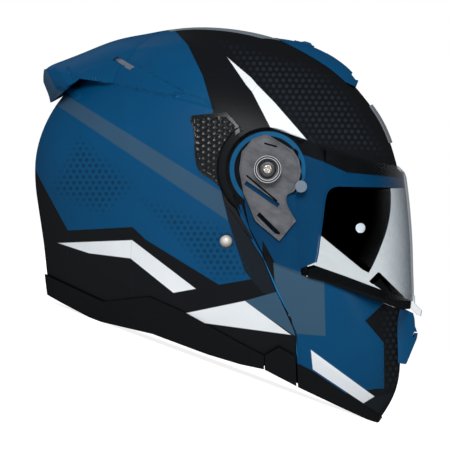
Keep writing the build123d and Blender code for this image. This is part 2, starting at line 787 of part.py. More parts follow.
def buckle_lever():
    """The lever that lets the toothed tongue go."""
    wide = buckle_wide - 2 * buckle_wall - 2 * soft_gap
    middle = lever_axis[0] + (lever_long - lever_wall) / 2
    plate = Pos(strap_middle, middle, lever_axis[1]) * Box(wide, lever_long, lever_wall)
    plate += lever_rod((lever_wall + lever_pin_radius) / 2, wide)
    return plate - lever_rod(lever_pin_radius + fit, 2 * buckle_wide)


pair("strap_rivet", strap_rivet())
nodes["chin_strap_right"] = chin_strap(-1, buckle_low - soft_gap)
nodes["chin_strap_left"] = chin_strap(1, buckle_high + soft_gap)
tongue_box = Box(tongue_wide, buckle_high - tongue_end, tongue_wall)
nodes["buckle_tongue"] = Pos(strap_middle, (buckle_high + tongue_end) / 2, strap_level) * tongue_box
nodes["buckle_body"] = buckle_body()
nodes["buckle_lever"] = buckle_lever()
nodes["buckle_pin"] = lever_rod(lever_pin_radius, buckle_wide)

# Latch
striker_share = (.0400, -.4200)
striker_radius = 3.0
striker_depth = 39.8
striker_plate_shares = [(-.0050, -.3800), (.0500, -.3800), (.0560, -.4320), (.0050, -.4320)]
latch_axis_share = (.1275, -.4550)
latch_pin_radius = 2.5
hook_depth = 36.8
pin_bite = 1.0
hook_wall = 3.0
hook_shares = [(.1350, -.4390), (.0850, -.4080), (.0300, -.3950), (.0180, -.4000), (.0180, -.4240),
               (.0270, -.4260), (.0285, -.4080), (.0600, -.4085), (.0850, -.4260), (.1200, -.4690),
               (.1350, -.4700)]
hook_boss_radius = 5.5
hook_lift = 12
latch_plate_shares = [(.1050, -.4350), (.1500, -.4200), (.1500, -.4800), (.1150, -.4780)]
plate_thick = 1.8
hook_inner = half_width - hook_depth


def striker():
    """The steel pin on its plate inside the shell."""
    centre = at([striker_share])[0]
    band = skin(shell_wall + skin_play) - skin(shell_wall + skin_play + plate_thick)
    plate = band & through(sector(at(striker_plate_shares)), -half_width, 0)
    pin = disc(striker_radius, -half_width, striker_depth - half_width, centre)
    pin = pin & skin(shell_wall + plate_thick)
    return plate + pin


def latch_plate():
    """The plate and pin in the chin bar that the hook turns on."""
    centre = at([latch_axis_share])[0]
    band = skin(chin_wall + skin_play) - skin(chin_wall + skin_play + plate_thick)
    plate = band & through(sector(at(latch_plate_shares)), -half_width, 0)
    pin = disc(latch_pin_radius, -half_width, pin_bite - hook_inner, centre)
    pin = pin & skin(chin_wall + plate_thick)
    return plate + pin


def latch_hook():
    """The hook that holds the striker pin, drawn lifted clear of it."""
    centre = at([latch_axis_share])[0]
    hook = through(sector(at(hook_shares)), -hook_inner - hook_wall, -hook_inner)
    hook += disc(hook_boss_radius, -hook_inner - hook_wall, -hook_inner, centre)
    hook -= disc(latch_pin_radius + fit, -half_width, -hook_inner + hook_wall, centre)
    place = Pos(centre[0], 0, centre[1])
    return place * Rot(0, hook_lift, 0) * place.inverse() * hook


pair("striker", striker())
pair("latch_plate", latch_plate())
pair("latch_hook", latch_hook())

# Top vent
vent_inset = 38.3
vent_shares = [(0, .280), (25, .290), (38, .312), (46, .3250), (55, .3300), (66, .3320), (79, .3335),
               (88, .3345), (96, .3380), (110, .340), (130, .33), (180, .300), (250, .280), (310, .280)]
vent_region_shares = [(-.0300, .3700), (.0700, .3900), (.1500, .3625), (.2450, .2600), (.2230, .2080),
                      (.1900, .2230), (.0875, .2850), (.0150, .3075), (-.0275, .3200)]
vent_mouth_shares = [(.2080, .2280), (.2500, .2250), (.2500, .2600), (.2150, .2450)]
vent_mouth_half = 20.0
knob_ring_shares = [(78, .3345), (75, .3345), (73.5, .3385), (71, .3385), (70, .3345), (69, .3345)]


def top_vent_housing():
    """The raised air channel on the crown, open to the front, with the track for its slide."""
    form = dome(vent_shares, half_width - vent_inset)
    body = (form & through(sector(at(vent_region_shares)))) - skin(-skin_play)
    body -= through(sector(at(vent_mouth_shares)), -vent_mouth_half, vent_mouth_half)
    return body - vent_track


def top_vent_slider():
    """The finger tab that slides back to open the top vent."""
    foot_share = track_floor_share + soft_gap / span
    rear, front = knob_ring_shares[0][0], knob_ring_shares[-1][0]
    ring = [(front, foot_share), ((front + rear) / 2, foot_share), (rear, foot_share)] + knob_ring_shares
    return through(sector(polar(ring)), -track_half + soft_gap, track_half - soft_gap)


nodes["top_vent_housing"] = top_vent_housing()
nodes["top_vent_slider"] = top_vent_slider()

# Brow scoop
scoop_inset = 14.3
scoop_wide = 28.0
scoop_proud_share = .0060
scoop_fan_shares = [(12.5, .2400), (12.5, .3600), (32.0, .3600), (32.0, .2400)]
scoop_form = dome([(a, r + scoop_proud_share) for a, r in skin_shares], half_width - scoop_inset)
scoop_fan = through(sector(polar(scoop_fan_shares)), -scoop_wide, scoop_wide)
nodes["brow_scoop"] = (scoop_form & scoop_fan) - skin(-skin_play)

# Rear spoiler
spoiler_inset = 19.3
spoiler_region_shares = [(-.5925, .2900), (-.4175, .3750), (-.1925, .4000), (-.2025, .1950),
                         (-.2388, .1800), (-.3550, .2100), (-.4675, .2275), (-.5175, .1875),
                         (-.5550, .1625), (-.6400, .1700)]
exhaust_shares = [(-.3900, .2700), (-.3740, .2830), (-.3300, .2560), (-.3430, .2430)]
exhaust_floor = 40.0
grille_wall = 1.4


def rear_spoiler():
    """The moulded spoiler over the rear vents, with an exhaust slot each side."""
    form = dome(spoiler_shares, half_width - spoiler_inset)
    body = (form & through(sector(at(spoiler_region_shares)))) - skin(-skin_play)
    return body - both_sides(sector(at(exhaust_shares)), exhaust_floor, half_width)


nodes["rear_spoiler"] = rear_spoiler()
grille_band = skin(-skin_play - grille_wall) - skin(-skin_play)
nodes["exhaust_grilles"] = grille_band & both_sides(sector(at(exhaust_shares)), exhaust_floor, half_width)

# Chin vent
chin_vent_shares = [(.3100, -.3475), (.3500, -.3500), (.3675, -.3590), (.3710, -.3725), (.3725, -.3925),
                    (.3800, -.4100), (.3770, -.4230), (.3500, -.4850), (.3465, -.4865), (.3100, -.4800)]
chin_slot_shares = [(.3700, -.4060), (.3410, -.4738), (.3550, -.4850), (.4000, -.4400), (.4000, -.4040)]
chin_slider_shares = [(.3797, -.4095), (.3768, -.4235), (.3631, -.4550), (.3536, -.4510), (.3720, -.4095)]
chin_vent_middle_share = .1575
chin_vent_wide = 46.0
chin_slot_half = 17.0
chin_vent_reach_share = .3830


def plan_oval(reach_share, wide):
    """An upright oval column round the chin."""
    long = (reach_share - chin_vent_middle_share) * span
    ring = Ellipse(long, wide)
    return Pos(chin_vent_middle_share * span, 0, -far) * extrude(ring, 2 * far)


def chin_vent_housing():
    """The raised vent on the front of the chin bar."""
    block = through(sector(at(chin_vent_shares))) & plan_oval(chin_vent_reach_share, chin_vent_wide)
    slot_half = chin_slot_half + soft_gap
    return block - skin(-skin_play) - through(sector(at(chin_slot_shares)), -slot_half, slot_half)


def chin_vent_slider():
    """The cover that slides down to open the chin vent."""
    cover = through(sector(at(chin_slider_shares)), -chin_slot_half, chin_slot_half)
    return cover & plan_oval(chin_vent_reach_share, chin_vent_wide)


nodes["chin_vent_housing"] = chin_vent_housing()
nodes["chin_vent_slider"] = chin_vent_slider()

# Chin seal and breath deflector
chin_seal_shares = [(.0975, -.2475), (.1225, -.2400), (.2075, -.2700), (.2950, -.3030), (.3690, -.3290),
                    (.4300, -.3320), (.4300, -.3480), (.3475, -.3480), (.3250, -.3455), (.2900, -.3315),
                    (.1400, -.2765), (.1000, -.2665)]
chin_seal_wall = 6.0
deflector_shares = [(.2600, -.2800), (.2825, -.2570), (.3430, -.3170), (.3400, -.3350), (.3300, -.3350),
                    (.2825, -.2710), (.2660, -.2860)]
deflector_half = 38.0
seal_drop = visor_wall + seal_gap
nodes["chin_seal"] = bounded(visor_skin(seal_drop), visor_skin(seal_drop + chin_seal_wall),
                             sector(at(chin_seal_shares)))
deflector = through(sector(at(deflector_shares)), -deflector_half, deflector_half)
nodes["breath_deflector"] = deflector & visor_skin(seal_drop + chin_seal_wall + soft_gap)

# Pins and studs on the inside of the visor
pinlock_share = (.2300, -.1450)
stud_share = (.0825, -.0425)
pinlock_radius = 4.0
stud_radius = 4.8
stud_wall = 1.1


def visor_buttons(share, radius, wall):
    """A round button each side against the visor's inner face."""
    centre = at([share])[0]
    ring = visor_skin(visor_wall + skin_play / 2) - visor_skin(visor_wall + wall)
    both = disc(radius, -2 * half_width, 0, centre) + disc(radius, 0, 2 * half_width, centre)
    return ring & both


nodes["pinlock_pins"] = visor_buttons(pinlock_share, pinlock_radius, 2 * stud_wall)
nodes["visor_studs"] = visor_buttons(stud_share, stud_radius, stud_wall)

# Sun visor pivots
lens_flat = (1 - slice_shares[-1] ** visor_round_share) ** (1 / visor_side_share)
lens_outer_flat = lens_half * lens_flat
lens_inner_flat = (lens_half - lens_wall) * lens_flat
pin_play = 0.25


def sun_visor_pivot():
    """The post and head that carry one arm of the sun visor."""
    post = disc(lens_boss_radius, -floor_inner, -lens_outer_flat - pin_play, lens_centre)
    post += disc(lens_pin_radius, -floor_inner, -lens_inner_flat + pin_play, lens_centre)
    head = lens_inner_flat - pin_play
    return post + disc(lens_pin_head_radius, -head, -head + lens_pin_head_wall, lens_centre)


pair("sun_visor_pivot", sun_visor_pivot())

# Sun visor slide on the rider's left
slide_ends_share = ((-.2225, -.3000), (-.1025, -.3700))
slide_proud = 1.9
slide_half = 5.5
slide_track_half = 1.8
slide_travel = 20.0
knob_long = 11.0
knob_half = 4.0
knob_wall = 3.0
knob_foot = 1.0


def along_slide(near, distant, half):
    """A strip along the slide's line, from one distance to another."""
    (ax, az), (bx, bz) = at(slide_ends_share)
    length = math.hypot(bx - ax, bz - az)
    ux, uz = (bx - ax) / length, (bz - az) / length
    return sector([(ax + ux * d - uz * w, az + uz * d + ux * w)
                   for d, w in ((near, -half), (distant, -half), (distant, half), (near, half))])


(slide_ax, slide_az), (slide_bx, slide_bz) = at(slide_ends_share)
slide_long = math.hypot(slide_bx - slide_ax, slide_bz - slide_az)
slide_middle_share = ((slide_ax + slide_bx) / 2 / span, (slide_az + slide_bz) / 2 / span)
slide_face = on_skin(slide_middle_share) + slide_proud
knob_start = (slide_long - slide_travel - knob_long) / 2


def slide_housing():
    """The track plate on the shell."""
    plate = through(along_slide(0, slide_long, slide_half), 0, slide_face) - skin(-skin_play)
    slot = along_slide(knob_start, knob_start + knob_long + slide_travel, slide_track_half + soft_gap)
    return plate - through(slot, slide_face - knob_foot - soft_gap, slide_face + knob_wall)


def slide_knob():
    """The finger knob and its foot in the track."""
    knob = through(along_slide(knob_start, knob_start + knob_long, knob_half),
                   slide_face + soft_gap, slide_face + soft_gap + knob_wall)
    foot = along_slide(knob_start + soft_gap, knob_start + knob_long - soft_gap, slide_track_half)
    return knob + through(foot, slide_face - knob_foot, slide_face + knob_wall)


nodes["slider_housing"] = slide_housing()
nodes["sun_visor_slider"] = slide_knob()

# Tip the helmet back on its rear edge and chin, and cut both feet flat
(rear_x, rear_z), (chin_x, chin_z) = at([rear_foot_share, chin_foot_share])
tilt = math.atan2(rear_z - chin_z, chin_x - rear_x)
ground = rear_x * math.sin(tilt) + rear_z * math.cos(tilt) + foot_flat
tipped = {name: Rot(0, -math.degrees(tilt), 0) * solid for name, solid in nodes.items()}
under = Pos(0, 0, ground - far) * Box(4 * far, 4 * far, 2 * far)
for name in ("base_trim", "chin_bar_trim"):
    tipped[name] -= under
boxes = [solid.bounding_box() for solid in tipped.values()]
middle = (min(box.min.X for box in boxes) + max(box.max.X for box in boxes)) / 2

os.makedirs("parts", exist_ok=True)
for name, solid in tipped.items():
    export_step(Pos(-middle, 0, -ground) * solid, f"parts/{name}.step")
print("hinge axis at", round(-middle, 3), round(-ground, 3), "tilt", round(math.degrees(tilt), 4))
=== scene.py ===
# %% [markdown]
# # A modular motorcycle helmet
# The solid model gives every piece its place. This lesson gives the pieces their looks: painted shells
# with raised creases, a clear visor, honeycomb side panels, seals, metal parts and a quilted lining.
# First the model is loaded as a fixed frame, and each piece is hung on the body it moves with.

# %% Load the frame
import json
import math
import bpy
import numpy as np
from mathutils import Matrix, Vector

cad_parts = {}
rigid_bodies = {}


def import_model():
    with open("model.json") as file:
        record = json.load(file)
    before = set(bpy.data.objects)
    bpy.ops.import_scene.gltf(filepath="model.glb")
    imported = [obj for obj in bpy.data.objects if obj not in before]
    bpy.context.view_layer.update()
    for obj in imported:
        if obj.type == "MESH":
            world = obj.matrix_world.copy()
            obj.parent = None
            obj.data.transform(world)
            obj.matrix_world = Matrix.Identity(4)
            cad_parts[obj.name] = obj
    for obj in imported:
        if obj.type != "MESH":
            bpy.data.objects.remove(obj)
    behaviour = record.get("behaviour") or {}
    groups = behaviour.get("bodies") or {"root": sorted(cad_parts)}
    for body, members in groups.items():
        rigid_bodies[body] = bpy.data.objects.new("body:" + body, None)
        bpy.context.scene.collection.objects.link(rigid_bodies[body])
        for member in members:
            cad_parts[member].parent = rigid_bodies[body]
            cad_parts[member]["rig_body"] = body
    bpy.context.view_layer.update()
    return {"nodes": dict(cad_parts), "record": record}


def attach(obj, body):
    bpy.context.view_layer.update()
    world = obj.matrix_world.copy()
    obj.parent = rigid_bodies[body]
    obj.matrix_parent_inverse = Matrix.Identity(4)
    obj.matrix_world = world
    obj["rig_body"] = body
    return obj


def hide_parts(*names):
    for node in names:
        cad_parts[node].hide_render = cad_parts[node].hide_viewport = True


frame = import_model()
nodes = frame["nodes"]
print("pieces in the frame:", len(nodes))

# %% [markdown]
# ## The side view
# The helmet stands tipped back on its rest, while its graphics and creases are easiest to place as they
# are seen from the side when the helmet is worn. So a place is turned about the chin bar's hinge by the
# tilt, and counted in view units of 0.82 mm to the right and down, with the hinge at (267, 170).

# %% From the row frame to the side view and back
TILT = math.radians(20.2991)
HINGE = (0.018114, 0.163406)
UNIT = 0.00082
HINGE_VIEW = (267.0, 170.0)


def side_view(points):
    """Right and down in view units: the place turned back about the hinge, divided by the unit."""
    dx, dz = points[:, 0] - HINGE[0], points[:, 2] - HINGE[1]
    across = dx * math.cos(TILT) + dz * math.sin(TILT)
    up = dz * math.cos(TILT) - dx * math.sin(TILT)
    return HINGE_VIEW[0] + across / UNIT, HINGE_VIEW[1] - up / UNIT


def standing(right, down):
    """The x and z of view places: the reverse turn, scaled by the unit and set off from the hinge."""
    across, up = (np.asarray(right) - HINGE_VIEW[0]) * UNIT, (HINGE_VIEW[1] - np.asarray(down)) * UNIT
    x = HINGE[0] + across * math.cos(TILT) - up * math.sin(TILT)
    return x, HINGE[1] + across * math.sin(TILT) + up * math.cos(TILT)


# %% [markdown]
# ## Camera, floor and light
# The camera looks level at the helmet's right side and is rolled by the tilt, so the helmet looks worn.
# It stands 6 m away with a long lens, as a catalogue picture is taken, and the frame is 0.369 m wide at a
# plane 40 mm to its side of the middle. The light is a soft even world with three big lamps. The
# background is full white only to camera, mirror and glass rays. To all others it is a soft light of
# about a third of that.

# %% Camera
scene = bpy.context.scene
scene.view_settings.view_transform = "Standard"
DISTANCE = 6.0
FRAME_WIDTH = 0.369
FRAMED_PLANE = 0.04
SENSOR_WIDTH = 36
AIM = (225.0, 225.0)
aim_x, aim_z = standing(*AIM)
lens = bpy.data.cameras.new("side_camera")
lens.sensor_width = SENSOR_WIDTH
lens.lens = SENSOR_WIDTH * DISTANCE / FRAME_WIDTH
lens.clip_end = 50
camera = bpy.data.objects.new("side_camera", lens)
cosine, sine = math.cos(TILT), math.sin(TILT)
camera.matrix_world = Matrix((
    (cosine, -sine, 0, float(aim_x)),
    (0, 0, -1, -DISTANCE - FRAMED_PLANE),
    (sine, cosine, 0, float(aim_z)),
    (0, 0, 0, 1),
))
scene.collection.objects.link(camera)
scene.camera = camera
print("camera lens", round(lens.lens), "mm")


# %% [markdown]
# ## Materials as sums
# A material is a graph of nodes. Each node's output is wrapped, so that its maths can be written as plain
# sums, and each operator adds one node. The same wrapper builds the materials and the room's light.

# %% Socket arithmetic for materials
WHITE = (1, 1, 1, 1)


class Value:
    """A node's output that can be used in arithmetic: each operator adds one Math node."""

    def __init__(self, graph, socket):
        self.graph, self.socket = graph, socket

    def math(self, operation, *values, reverse=False):
        inputs = (values[0], self) if reverse else (self, *values)
        return self.graph.node("ShaderNodeMath", {"operation": operation}, dict(enumerate(inputs)))

    def __add__(self, other):
        return self.math("ADD", other)

    def __sub__(self, other):
        return self.math("SUBTRACT", other)

    def __rsub__(self, other):
        return self.math("SUBTRACT", other, reverse=True)

    def __mul__(self, other):
        return self.math("MULTIPLY", other)

    def __truediv__(self, other):
        return self.math("DIVIDE", other)

    __radd__ = __add__
    __rmul__ = __mul__

    def least(self, other):
        """The smaller of the two."""
        return self.math("MINIMUM", other)

    def most(self, other):
        """The larger of the two."""
        return self.math("MAXIMUM", other)

    def ramp(self, low, high):
        """0 up to low, 1 from high on, and a straight rise between."""
        return self.graph.node("ShaderNodeMapRange", {"clamp": True}, {0: self, 1: low, 2: high}, 0)


class Graph:
    """A node tree that starts empty and is built node by node."""

    def __init__(self, tree):
        self.tree = tree
        tree.nodes.clear()

    def node(self, kind, settings=None, inputs=None, output=0):
        """Adds a node, makes its settings, and gives its sockets their values or links."""
        made = self.tree.nodes.new(kind)
        for key, value in (settings or {}).items():
            setattr(made, key, value)
        for key, value in (inputs or {}).items():
            if isinstance(value, Value):
                self.tree.links.new(value.socket, made.inputs[key])
            else:
                made.inputs[key].default_value = value
        return Value(self, made.outputs[output])

    def close(self, shader, kind):
        """Links the last shader to the surface of a new output node."""
        self.tree.links.new(shader.socket, self.tree.nodes.new(kind).inputs["Surface"])


class Finish(Graph):
    """A material. Its place in the row frame and in the side view are ready to use."""

    def __init__(self, name):
        self.material = bpy.data.materials.new(name)
        self.material.use_nodes = True
        super().__init__(self.material.node_tree)
        self.place = self.node("ShaderNodeTexCoord", output="Object")

    def axes(self):
        """Object x, y and z as three values."""
        parts = self.node("ShaderNodeSeparateXYZ", None, {0: self.place})
        return [Value(self, output) for output in parts.socket.node.outputs]

    def view_axes(self):
        """Right and down in the side view, the same turn as side_view() makes."""
        x, _, z = self.axes()
        dx, dz = x - HINGE[0], z - HINGE[1]
        across = dx * (cosine / UNIT) + dz * (sine / UNIT)
        up = dz * (cosine / UNIT) - dx * (sine / UNIT)
        return across + HINGE_VIEW[0], HINGE_VIEW[1] - up

    def noise(self, scale, detail=2.0, rough=0.5, stretch=(1, 1, 1)):
        """Cloudy noise from 0 to 1: scale lumps in a metre, pressed together along each axis by stretch."""
        spot = self.node("ShaderNodeVectorMath", {"operation": "MULTIPLY"}, {0: self.place, 1: stretch})
        sizes = {"Vector": spot, "Scale": scale, "Detail": detail, "Roughness": rough}
        return self.node("ShaderNodeTexNoise", None, sizes)

    def cells(self, scale, feature="F1"):
        """The distance to the nearest of scattered points, or to the border between two of them."""
        sizes = {"Vector": self.place, "Scale": scale}
        return self.node("ShaderNodeTexVoronoi", {"feature": feature}, sizes, "Distance")

    def mix(self, factor, low, high):
        """One colour fading into another."""
        return self.node("ShaderNodeMix", {"data_type": "RGBA"}, {0: factor, 6: low, 7: high}, 2)

    def bump(self, height, distance):
        """A surface direction bent by a height from 0 to 1, which stands for the distance in metres."""
        return self.node("ShaderNodeBump", None, {"Strength": 1.0, "Distance": distance, "Height": height})

    def satin(self, colour, rough, normal, shine, sheen=0.0):
        """A coloured body under a thin even shine: a constant share of mirror light, the same at the rim."""
        body = self.node("ShaderNodeBsdfPrincipled", None, {
            "Base Color": colour, "Roughness": rough, "Normal": normal, "Specular IOR Level": 0.0,
            "Sheen Weight": sheen, "Sheen Roughness": 0.5})
        mirror = {"Color": WHITE, "Roughness": rough, "Normal": normal}
        gloss = self.node("ShaderNodeBsdfGlossy", None, mirror)
        return self.end(self.node("ShaderNodeMixShader", None, {0: shine, 1: body, 2: gloss}))

    def end(self, shader):
        """Closes the graph with its last shader and gives the material."""
        self.close(shader, "ShaderNodeOutputMaterial")
        return self.material


def ink(text):
    """A written colour, two hexadecimal digits each for red, green and blue, as linear light with alpha 1."""
    parts = np.array([int(text[i:i + 2], 16) for i in (0, 2, 4)]) / 255
    linear = np.where(parts <= 0.04045, parts / 12.92, ((parts + 0.055) / 1.055) ** 2.4)
    return (*linear.tolist(), 1.0)


# %% [markdown]
# ## The room
# The floor is a pale sheet that glows where it is seen directly, so it stays nearly white beside the
# helmet. The key lamp stands on the camera's side, and two weaker lamps light the front and the back.

# %% Floor, background and lamps
FLOOR_GLOW = 0.86
FLOOR_REACH = 12.0
WORLD_LIGHT = 0.32


def seen_directly(finish):
    """1 for camera, mirror and glass rays, else 0."""
    rays = {name: finish.node("ShaderNodeLightPath", output=name) for name in
            ("Is Camera Ray", "Is Glossy Ray", "Is Transmission Ray")}
    return rays["Is Camera Ray"].most(rays["Is Glossy Ray"]).most(rays["Is Transmission Ray"])


floor_finish = Finish("floor_white")
diffuse = floor_finish.node("ShaderNodeBsdfDiffuse", None, {"Color": ink("d8d8d8")})
glow = floor_finish.node("ShaderNodeEmission", None, {
    "Color": WHITE, "Strength": seen_directly(floor_finish) * FLOOR_GLOW})
floor_finish.end(floor_finish.node("ShaderNodeAddShader", None, {0: diffuse, 1: glow}))
floor_mesh = bpy.data.meshes.new("floor")
floor_corners = [(FLOOR_REACH * x, FLOOR_REACH * y, 0) for x, y in ((-1, -1), (1, -1), (1, 1), (-1, 1))]
floor_mesh.from_pydata(floor_corners, [], [(0, 1, 2, 3)])
floor_mesh.materials.append(floor_finish.material)
floor = bpy.data.objects.new("floor", floor_mesh)
scene.collection.objects.link(floor)

world = bpy.data.worlds.new("soft_room")
world.use_nodes = True
scene.world = world
room = Graph(world.node_tree)
strength = seen_directly(room) * (1 - WORLD_LIGHT) + WORLD_LIGHT
backdrop = room.node("ShaderNodeBackground", None, {"Color": WHITE, "Strength": strength})
room.close(backdrop, "ShaderNodeOutputWorld")


def lamp(name, place, target, size, watts):
    """A square area lamp at place that faces target."""
    data = bpy.data.lights.new(name, "AREA")
    data.size, data.energy = size, watts
    made = bpy.data.objects.new(name, data)
    aim = Vector(target) - Vector(place)
    made.matrix_world = Matrix.Translation(place) @ aim.to_track_quat("-Z", "Y").to_matrix().to_4x4()
    scene.collection.objects.link(made)


middle = (0, 0, 0.14)
lamp("key_lamp", (-0.5, -2.7, 1.5), middle, 1.0, 68)
lamp("front_lamp", (2.6, -1.2, 1.0), middle, 0.9, 16)
lamp("back_lamp", (-1.6, 2.4, 1.6), middle, 1.2, 24)
print("stage ready")

# %% [markdown]
# ## Copies that can be worked on
# A node's mesh is loose triangles of very different sizes. A working copy first joins them at their
# corners. Then every edge longer than a limit is split at its middle, again and again, so that a raised
# crease has points to move. The pieces keep their places in their meshes.

# %% Join and refine
def joined(name):
    """Corners and triangles of a node, with corners closer than a thousandth of a millimetre made one."""
    mesh = nodes[name].data
    points = np.empty(len(mesh.vertices) * 3)
    mesh.vertices.foreach_get("co", points)
    mesh.calc_loop_triangles()
    faces = np.empty(len(mesh.loop_triangles) * 3, int)
    mesh.loop_triangles.foreach_get("vertices", faces)
    points, faces = points.reshape(-1, 3), faces.reshape(-1, 3)
    _, first, back = np.unique(np.round(points, 6), axis=0, return_index=True, return_inverse=True)
    faces = back.reshape(-1)[faces]
    whole = (faces[:, 0] != faces[:, 1]) & (faces[:, 1] != faces[:, 2]) & (faces[:, 2] != faces[:, 0])
    return points[first], faces[whole]


def refined(points, faces, longest, middle=None, rounds=9):
    """Splits each edge longer than longest at its middle, so a triangle with 1, 2 or 3 split edges becomes
    2, 3 or 4. With a middle point, only the edges of triangles that face away from it are split."""
    for _ in range(rounds):
        edges = np.sort(faces[:, [[0, 1], [1, 2], [2, 0]]].reshape(-1, 2), axis=1)
        pairs, back = np.unique(edges, axis=0, return_inverse=True)
        long = np.linalg.norm(points[pairs[:, 0]] - points[pairs[:, 1]], axis=1) > longest
        if middle is not None:
            a, b, c = points[faces].transpose(1, 0, 2)
            away = (np.cross(b - a, c - a) * (a - middle)).sum(1) > 0
            long &= np.isin(np.arange(len(pairs)), back.reshape(-1, 3)[away])
        if not long.any():
            break
        middles = np.full(len(pairs), -1)
        middles[long] = len(points) + np.arange(long.sum())
        points = np.vstack([points, points[pairs[long]].mean(1)])
        faces = split(faces, middles[back.reshape(-1)].reshape(-1, 3))
    return points, faces


def split(faces, cut):
    """The smaller triangles of each face. cut holds the middles on its edges ab, bc and ca, or -1."""
    count = (cut >= 0).sum(1)
    whole = faces[count == 0]
    turn = np.where(count == 1, cut.argmax(1), np.where(count == 2, (cut.argmin(1) + 1) % 3, 0))
    order = (turn[:, None] + np.arange(3)) % 3
    a, b, c = np.take_along_axis(faces, order, 1).T
    ab, bc, ca = np.take_along_axis(cut, order, 1).T
    one, two, three = count == 1, count == 2, count == 3
    made = [whole]
    for chosen, corners in (
        (one, ((a, ab, c), (ab, b, c))),
        (two, ((ab, b, bc), (a, ab, bc), (a, bc, c))),
        (three, ((a, ab, ca), (ab, b, bc), (ca, bc, c), (ab, bc, ca))),
    ):
        made += [np.stack([corner[chosen] for corner in trio], 1) for trio in corners]
    return np.vstack(made)


def outward(points, faces):
    """A unit direction out of the surface at each corner: the areas of its faces added up."""
    a, b, c = points[faces].transpose(1, 0, 2)
    face = np.cross(b - a, c - a)
    total = np.zeros_like(points)
    for corner in range(3):
        np.add.at(total, faces[:, corner], face)
    return total / np.maximum(np.linalg.norm(total, axis=1, keepdims=True), 1e-12)


def piece(name, points, faces, body, finish, sharp=30):
    """A smooth mesh object with edges sharper than the angle kept crisp, riding on its body."""
    mesh = bpy.data.meshes.new(name)
    mesh.from_pydata(points, [], faces)
    mesh.polygons.foreach_set("use_smooth", np.ones(len(mesh.polygons), bool))
    if sharp:
        mesh.set_sharp_from_angle(angle=math.radians(sharp))
    mesh.materials.append(finish)
    made = bpy.data.objects.new(name, mesh)
    scene.collection.objects.link(made)
    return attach(made, body)


def dressed(node, finish, longest, relief=None, sharp=30, middle=None):
    """A working copy that stands for its node. relief(points, out) is how far each point moves outwards."""
    points, faces = refined(*joined(node), longest, middle)
    if relief:
        out = outward(points, faces)
        points = points + out * relief(points, out)[:, None]
    made = piece(node + "_dressed", points, faces, nodes[node]["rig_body"], finish, sharp)
    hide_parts(node)
    print(f"{made.name}: {len(faces)} triangles")


# %% [markdown]
# ## Paint
# The shell and the chin bar carry one graphic scheme: blue, black, grey and white blades that cross from
# one to the other. Real helmets get them as water-slide films under a satin clear coat, with crisp edges.
# Here each blade is a convex outline or a circle in the side view. A point is inside when it is on the
# inner side of all its edges, so one blade is the least of a few straight distances. Concave blades are
# listed in convex halves. The lighter blue rim blades are painted highlights along raised edges.

# %% Blades of colour
# Of these inks, the lighter blue rim ink is a painted highlight.
INKS = {"blue": "04456e", "black": "070a0e", "slate": "111920", "grey": "37546a", "white": "e8edf1",
        "crest": "6f7a82", "band": "335069", "edge_blue": "1f6d9e"}
DOTS = {"front_dots": "1c242b", "rear_dots": "05324f", "chin_dots": "1a2229"}
DOT_PITCH, DOT_SIZE, DOT_FADE = 6.5, 0.3, 7.0
CREST_FOOT = 60
SOFT_EDGE = 0.3

SHELL_BLADES = [
    ("band", [(53, 87), (221.3, 192), (228.5, 221), (53.7, 103)]),
    ("black", [(160, 0), (175.7, 31.5), (187.7, 45.4), (430, 45.4), (430, 0)]),
    ("black", [(187.7, 45.2), (202.4, 76.1), (430, 76.1), (430, 45.2)]),
    ("black", [(202.4, 75.9), (212, 108.1), (430, 108.1), (430, 75.9)]),
    ("black", [(212, 107.9), (224, 152), (430, 190), (430, 107.9)]),
    ("black", [(0, 107.7), (68.5, 230.5), (68.5, 400), (0, 400)]),
    ("black", [(68.3, 230.5), (133.8, 227), (133.8, 400), (68.3, 400)]),
    ("black", [(133.6, 227), (146.1, 239), (146.1, 400), (133.6, 400)]),
    ("black", [(145.9, 239), (219.1, 284), (219.1, 400), (145.9, 400)]),
    ("black", [(218.9, 284), (300, 270), (300, 400), (218.9, 400)]),
    ("slate", [(221.3, 192), (238, 215), (262, 250), (279, 296), (262, 292), (244, 270), (228.5, 222)]),
    ("black", [(213, 113), (286, 138), (290, 150), (290, 285), (262, 259), (236, 215.5), (213, 182)]),
    ("blue", [(289, 151), (322, 162.5), (346, 173.5), (346, 300), (289, 285)]),
    ("front_dots", [(222, 46), (310, 72), (345, 98), (376, 150), (306, 141), (260, 84)]),
    ("rear_dots", [(80, 140), (132, 186), (104, 212), (56, 190)]),
    ("band", [(38, 58), (46, 69.5), (62, 101), (40, 108)]),
    ("rear_dots", [(150, 205), (228, 232), (245, 274), (215, 277)]),
    # A ring of lighter blue round the pod: a painted highlight on its raised rim.
    ("edge_blue", (267, 170, 37.5)),
    ("black", (267, 170, 33)),
    ("white", [(58.6, 243), (133, 240), (131.5, 258), (90, 253)]),
    ("white", [(133, 240), (196, 288), (174, 292), (131.5, 258)]),
    ("grey", [(244, 300), (276, 291), (296, 336)]),
    ("white", [(187, 312), (244.6, 300), (290, 333.5), (205, 322)]),
    ("white", [(227.6, 58.9), (251, 79.3), (256.9, 86.3), (251.8, 93.3), (246, 86.3)]),
    ("white", [(251.8, 93.3), (256.9, 86.3), (274, 104), (306, 141), (269.6, 128.4)]),
    ("crest", [(164, -5), (170, 31), (262, 46), (284, 20), (284, -5)]),
]

